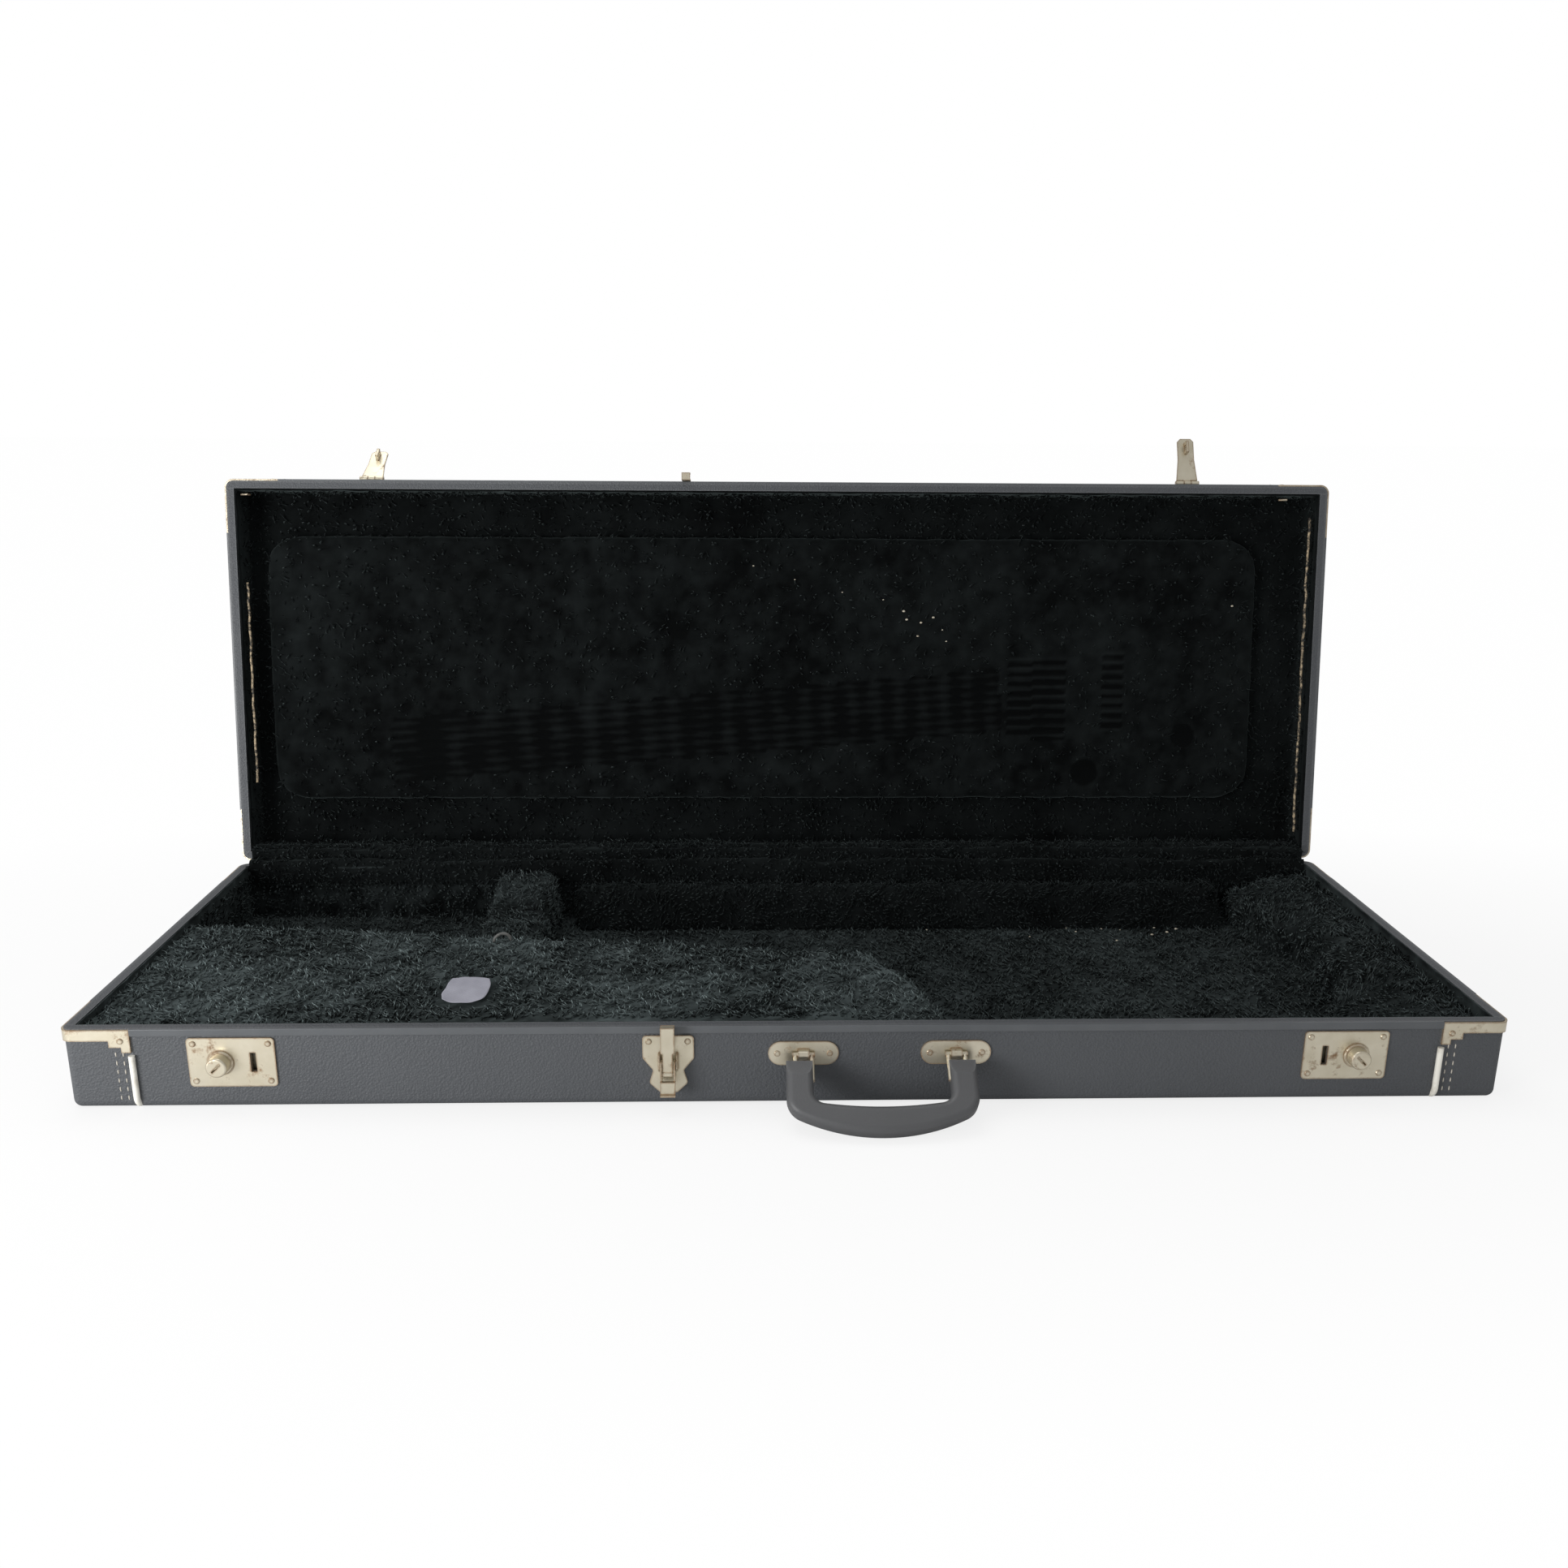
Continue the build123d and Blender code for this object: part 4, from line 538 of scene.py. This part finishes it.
padded_block("neck_block_plush", "neck_block", "base", 0.003, 6, finish=lightest_plush)
padded_block("neck_rest_plush", "neck_rest", "base", 0.0025, 9, finish=lighter_plush, shape=swept_up)
padded_block("back_pad_plush", "back_pad", "base", 0.003, 24, finish=plush)
padded_block("front_pad_plush", "front_pad", "base", 0.003, 12, finish=lighter_plush)
padded_block("end_pad_plush", "end_pad", "base", 0.003, 12, finish=lighter_plush)
padded_block("pocket_lid_plush", "pocket_lid", "pocket_lid", 0.0016, 2, finish=lightest_plush,
             bare=under_patch)

# Plush lining
# The same plush glued over the walls and floor of each tray, with a cut edge just under the rim.
LINING_PITCH = 0.004
LINING_X, LINING_Y = 0.5115, 0.1705
LINING_SHEET = 0.0012
BASE_FLOOR, BASE_EDGE = 0.0115, 0.0625
LID_CEILING, LID_EDGE = 0.0989, 0.0641
BLOCK_END, BLOCK_BACK, BLOCK_HEIGHT = 0.06, 0.03, 0.052
FRONT_WALL, TRAY_PILE_TOP, LID_PILE_LOW = -0.155, 0.058, 0.069
PAD_FROM, PAD_TO, PAD_HALF_DEPTH, PAD_GLUE = -0.485, 0.455, 0.12, 0.003


def lining(name, nodes, body, panel, edge, matrix, bare, density, finish):
    """A grid on the panel whose rim is drawn along the walls row by row, out to the tray's edge."""
    bm = bmesh.new()
    columns, rows = round(2 * LINING_X / LINING_PITCH), round(2 * LINING_Y / LINING_PITCH)
    bmesh.ops.create_grid(bm, x_segments=columns, y_segments=rows, size=1)
    bmesh.ops.scale(bm, verts=bm.verts, vec=(LINING_X, LINING_Y, 1))
    bmesh.ops.translate(bm, verts=bm.verts, vec=(0, 0, panel))
    steps = round(abs(edge - panel) / LINING_PITCH)
    for _ in range(steps):
        rim = [e for e in bm.edges if e.is_boundary]
        raised = bmesh.ops.extrude_edge_only(bm, edges=rim)["geom"]
        moved = [v for v in raised if isinstance(v, bmesh.types.BMVert)]
        bmesh.ops.translate(bm, verts=moved, vec=(0, 0, (edge - panel) / steps))
    for _ in range(2):
        inner = [v for v in bm.verts if not v.is_boundary]
        bmesh.ops.smooth_vert(bm, verts=inner, factor=0.5, use_axis_x=True, use_axis_y=True,
                              use_axis_z=True)
    bmesh.ops.recalc_face_normals(bm, faces=bm.faces)
    middle = min(bm.faces, key=lambda f: f.calc_center_median().xy.length)
    if middle.normal.z * (edge - panel) < 0:
        bmesh.ops.reverse_faces(bm, faces=bm.faces)
    made = as_object(name, bm)
    pile(made, density, None, bare, finish)
    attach(tufts(made, name.replace("plush", "pile"), matrix), body)
    finished(made, ("SOLIDIFY", {"thickness": LINING_SHEET, "offset": -1}))
    made.data.transform(matrix)
    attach(made, body)
    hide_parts(*nodes)


def under_block(spot, normal):
    """Where no pile grows in the tray: under the neck block, on the wall before it, by the rim."""
    below = spot.y < BLOCK_BACK and spot.z < BLOCK_HEIGHT
    return spot.x < BLOCK_END and (below or spot.y < FRONT_WALL) or spot.z > TRAY_PILE_TOP


def under_pad(spot, normal):
    """Where no pile grows in the lid: behind its pad and by the rim."""
    behind = PAD_FROM < spot.x < PAD_TO and abs(spot.y) < PAD_HALF_DEPTH
    return spot.z < LID_PILE_LOW or spot.z > LID_CEILING - PAD_GLUE and behind


lining("base_lining_plush", ["base_lining", "floor_pad"], "base", BASE_FLOOR, BASE_EDGE,
       Matrix.Identity(4), under_block, TRAY_TUFTS, lighter_plush)
lining("lid_lining_plush", ["lid_lining"], "lid", LID_CEILING, LID_EDGE,
       OPENED, under_pad, LID_TUFTS, plush)

# Lid pad
# A thin foam pad under the plush. A guitar has lain against it: strings, frets, pickups and knobs have
# left a slanting print in the pile.
PAD_FACE = 0.0869
STRING_FROM, STRING_TO = Vector((-0.37, 0.076)), Vector((0.205, 0.028))
STRING_GAP = 0.0085
PRINT_HALF = 0.030
FRET_COUNT = 21
PICKUPS = ((0.240, 0.018, 0.040), (0.262, 0.016, 0.042), (0.325, 0.010, 0.040))
PICKUP_PITCH = 0.0095
KNOBS = ((0.300, 0.098, 0.014), (0.397, 0.062, 0.012))


def printed(spot):
    """How flat the guitar laid the pile at a point of the pad's face, and the ridge it left there."""
    if spot.z > PAD_FACE + 0.004:
        return 0.0, 0.0
    at = spot.xy
    run = STRING_TO - STRING_FROM
    along = (at - STRING_FROM).dot(run) / run.length
    across = (at - STRING_FROM).dot(Vector((-run.y, run.x)).normalized())
    laid, ridge = 0.0, 0.0
    if -0.01 < along < run.length + 0.01 and abs(across) < PRINT_HALF:
        share = max(0, along) / run.length
        line = math.cos(2 * math.pi * across / STRING_GAP)
        fret = math.cos(2 * math.pi * FRET_COUNT * share ** 1.25)
        laid, ridge = 0.75, 0.35 * line + 0.25 * fret - 0.3
    for x, half_x, half_y in PICKUPS:
        centre = STRING_FROM + run * ((x - STRING_FROM.x) / run.x)
        if abs(at.x - centre.x) < half_x and abs(at.y - centre.y) < half_y:
            laid, ridge = 0.8, 0.7 * math.cos(2 * math.pi * (at.y - centre.y) / PICKUP_PITCH) - 0.2
    for x, y, radius in KNOBS:
        far = (at - Vector((x, y))).length
        if far < radius:
            laid, ridge = 0.8, -1.2 * min(1, (radius - far) / 0.004)
    return laid, ridge


def flattened(spot, normal):
    """Where no pile stands on the lid's pad: its glued back and wherever the guitar lay."""
    return normal.z > 0.6 or printed(spot)[0] > 0.5


padded_block("lid_pad_plush", "lid_pad", "lid", 0.003, 12, OPENED, printed, printed_plush, flattened,
             LID_PAD_TUFTS)

# Hinge gusset
# A loose strip of plush that closes the gap between the two trays behind the padding. It has been
# rolled into lengthwise folds by the lid.
GUSSET_LINE = (
    (0.1694, 0.044), (0.1690, 0.053), (0.1684, 0.060), (0.1712, 0.0655), (0.1760, 0.0690),
    (0.1792, 0.0725), (0.1830, 0.0765), (0.1890, 0.0772), (0.1960, 0.0768), (0.2040, 0.0756),
)
GUSSET_X = 0.5105
GUSSET_STEPS = (300, 22)
FOLD, RIPPLE = 0.0022, 0.0016
bm = bmesh.new()
bmesh.ops.create_grid(bm, x_segments=GUSSET_STEPS[0], y_segments=GUSSET_STEPS[1], size=1)
for vertex in bm.verts:
    share = (vertex.co.y + 1) / 2 * (len(GUSSET_LINE) - 1)
    k = min(int(share), len(GUSSET_LINE) - 2)
    y0, z0 = GUSSET_LINE[k]
    y1, z1 = GUSSET_LINE[k + 1]
    part = share - k
    x = vertex.co.x * GUSSET_X
    slow = noise.noise(Vector((x / 0.09, share / 3, 4)))
    fold = math.sin(share * 2.6 + slow * 2.5) * FOLD
    fold += noise.noise(Vector((x / 0.03, share, 9))) * RIPPLE
    fold *= math.sin(math.pi * (vertex.co.y + 1) / 2)
    vertex.co = Vector((x, y0 + (y1 - y0) * part - fold * 0.6, z0 + (z1 - z0) * part + fold))
bmesh.ops.recalc_face_normals(bm, faces=bm.faces)
if sum(f.normal.z - f.normal.y for f in bm.faces) < 0:
    bmesh.ops.reverse_faces(bm, faces=bm.faces)
gusset = as_object("hinge_gusset_plush", bm)
pile(gusset, GUSSET_TUFTS)
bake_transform(tufts(gusset, "hinge_gusset_pile"))
finished(gusset, ("SOLIDIFY", {"thickness": LINING_SHEET, "offset": -1}))
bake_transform(gusset)
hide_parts("hinge_gusset")

# Patch on the pocket's lid
# A plain scrap of pale woven cloth, glued on the pile, with rounded corners and lifted edges.
PATCH_TOP = 0.0608
PATCH_SHEET = 0.0006
bm = bmesh.new()
bmesh.ops.create_grid(bm, x_segments=14, y_segments=18, size=1)
for vertex in bm.verts:
    u, v = vertex.co.x, vertex.co.y
    pull = 1 - 0.17 * (u * v) ** 2 - 0.05 * noise.noise(Vector((u * 2, v * 2, 1)))
    lift = 0.0013 * (u * u + v * v) / 2 + 0.0009 * noise.noise(Vector((u * 1.7, v * 1.7, 5)))
    across, along = u * PATCH_HALF.x * pull, v * PATCH_HALF.y * pull
    vertex.co = Vector((PATCH_PLACE.x + across, PATCH_PLACE.y + along, PATCH_TOP + lift))
bmesh.ops.recalc_face_normals(bm, faces=bm.faces)
patch = as_object("patch_cloth", bm)
finished(patch, ("SOLIDIFY", {"thickness": PATCH_SHEET, "offset": 0}),
         ("SUBSURF", {"levels": 1, "render_levels": 1}))
cloth = Finish("pale woven patch")
bands = {"Vector": cloth.place(), "Scale": 420, "Distortion": 0.6}
weave = cloth.node("TexWave", {"wave_type": "BANDS"}, bands)
cloth.set(Base_Color=cloth.blend(cloth.noise(60, 4), (0.22, 0.22, 0.26, 1), (0.40, 0.40, 0.46, 1)))
cloth.set(Roughness=0.85)
cloth.bump(weave, 0.0002, 0.5)
patch.data.materials.append(cloth.material)
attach(patch, "pocket_lid")
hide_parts("label_patch")

# Pull loop
# A short cord bent up into a half ring at the edge of the pocket's lid, to pull it by. Its ends stand in
# the pile.
loop_low, loop_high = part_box("pull_loop")
LOOP_CORD, LOOP_REACH = 0.0013, 0.007
LOOP_TURN = math.radians(20)
loop_middle = (loop_low + loop_high) / 2
bm = bmesh.new()
ring = bmesh.ops.create_circle(bm, segments=8, radius=LOOP_CORD, cap_ends=True)["verts"]
bmesh.ops.translate(bm, verts=ring, vec=(LOOP_REACH, 0, 0))
bmesh.ops.spin(bm, geom=bm.verts[:] + bm.edges[:] + bm.faces[:], cent=(0, 0, 0), axis=(0, -1, 0),
               angle=math.pi, steps=16, use_merge=False)
bmesh.ops.remove_doubles(bm, verts=bm.verts, dist=1e-7)
bmesh.ops.rotate(bm, verts=bm.verts, cent=(0, 0, 0), matrix=Matrix.Rotation(LOOP_TURN, 3, "Z"))
bmesh.ops.translate(bm, verts=bm.verts, vec=(loop_middle.x, loop_middle.y, loop_low.z))
bmesh.ops.recalc_face_normals(bm, faces=bm.faces)
loop = as_object("pull_loop_cord", bm)
twine = Finish("grey pull cord")
# The cord's paler flecks are partly its own grey and partly painted highlights.
twine.set(Base_Color=twine.blend(twine.noise(500), (0.030, 0.032, 0.032, 1), (0.20, 0.20, 0.19, 1)))
twine.set(Roughness=0.75)
loop.data.materials.append(twine.material)
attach(loop, "pocket_lid")
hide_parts("pull_loop")

# Bare edges in the lid
# The board's raw edge shows as a narrow flecked brown line where the lining has come away from each end
# wall.
STRIP_RUN = ((-0.505, -0.085, 0.105), (0.505, -0.150, 0.155))
STRIP_PLACE, STRIP_WIDTH, STRIP_THICK = 0.0668, 0.0018, 0.0016
STRIP_STEP, STRIP_WANDER = 0.004, 0.0011
bm = bmesh.new()
for x, start, end in STRIP_RUN:
    count = round((end - start) / STRIP_STEP)
    made = bmesh.ops.create_grid(bm, x_segments=1, y_segments=count, size=0.5)["verts"]
    bmesh.ops.scale(bm, verts=made, vec=(STRIP_WIDTH, end - start, 1))
    bmesh.ops.translate(bm, verts=made, vec=(x, (start + end) / 2, STRIP_PLACE))
    for vertex in made:
        vertex.co.x += STRIP_WANDER * noise.noise(vertex.co * 90)
bmesh.ops.recalc_face_normals(bm, faces=bm.faces)
strips = as_object("lid_bare_edges", bm)
finished(strips, ("SOLIDIFY", {"thickness": STRIP_THICK, "offset": 0}))
strips.data.transform(OPENED)
raw = Finish("raw board edge")
flecks = ((raw.noise(260, 4, rough=0.7) - 0.44) * 6.0).held()
raw.set(Base_Color=raw.blend(flecks, (0.012, 0.010, 0.007, 1), (0.46, 0.36, 0.23, 1)), Roughness=0.6)
strips.data.materials.append(raw.material)
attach(strips, "lid")

# Clinched tabs
# The inner end of a plated corner clip, folded over the board's edge near each front corner of the lid.
TABS = ((-0.5035, -0.1665), (0.4785, -0.1665))
TAB_SIZE, TAB_PLACE, TAB_SLANT, TAB_EDGE = (0.008, 0.0016, 0.005), 0.0672, 0.35, 0.0005
bm = bmesh.new()
for x, y in TABS:
    made = bmesh.ops.create_cube(bm, size=1)["verts"]
    bmesh.ops.scale(bm, verts=made, vec=TAB_SIZE)
    bmesh.ops.rotate(bm, verts=made, cent=(0, 0, 0), matrix=Matrix.Rotation(TAB_SLANT, 3, "Y"))
    bmesh.ops.translate(bm, verts=made, vec=(x, y, TAB_PLACE))
bmesh.ops.bevel(bm, geom=bm.edges[:], offset=TAB_EDGE, segments=2, profile=0.5, affect="EDGES",
                material=-1)
bm.transform(OPENED)
tabs = as_object("lid_clinched_tabs", bm)
tabs.data.materials.append(nickel.material)
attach(tabs, "lid")

# Crumbs and lint
# Small pale crumbs caught in the pile: a few on the tray's floor by the padding, and a trail on the
# lid's pad.
CRUMB_SIZE = 0.0008
FLOOR_CRUMBS = (
    (0.135, 0.118), (0.268, 0.121), (0.275, 0.112), (0.301, 0.119), (0.318, 0.116), (0.352, 0.121),
    (0.361, 0.110), (0.372, 0.118), (0.345, 0.104), (0.229, 0.100), (0.308, 0.090),
)
LID_CRUMBS = (
    (-0.028, -0.103), (0.012, -0.090), (0.058, -0.078), (0.098, -0.071), (0.118, -0.060),
    (0.121, -0.052), (0.135, -0.049), (0.147, -0.054), (0.156, -0.042), (0.160, -0.031),
    (0.132, -0.036), (0.440, -0.066),
)
FLOOR_CRUMB_HEIGHT, LID_CRUMB_HEIGHT = 0.0165, 0.0835
chance = random.Random(4)


def crumbs(name, places, height, body, matrix):
    """Flattened grains of uneven size, as one piece."""
    bm = bmesh.new()
    for x, y in places:
        size = CRUMB_SIZE * chance.uniform(0.6, 1.5)
        made = bmesh.ops.create_icosphere(bm, subdivisions=1, radius=size)["verts"]
        bmesh.ops.scale(bm, verts=made, vec=(1.5, 1, 0.8))
        bmesh.ops.translate(bm, verts=made, vec=(x, y, height))
    bm.transform(matrix)
    made = as_object(name, bm)
    made.data.materials.append(lint.material)
    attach(made, body)


lint = Finish("pale crumbs")
lint.set(Base_Color=lint.blend(lint.noise(200), (0.36, 0.30, 0.21, 1), (0.66, 0.62, 0.52, 1)))
lint.set(Roughness=0.8)
crumbs("tray_crumbs", FLOOR_CRUMBS, FLOOR_CRUMB_HEIGHT, "base", Matrix.Identity(4))
crumbs("lid_crumbs", LID_CRUMBS, LID_CRUMB_HEIGHT, "lid", OPENED)
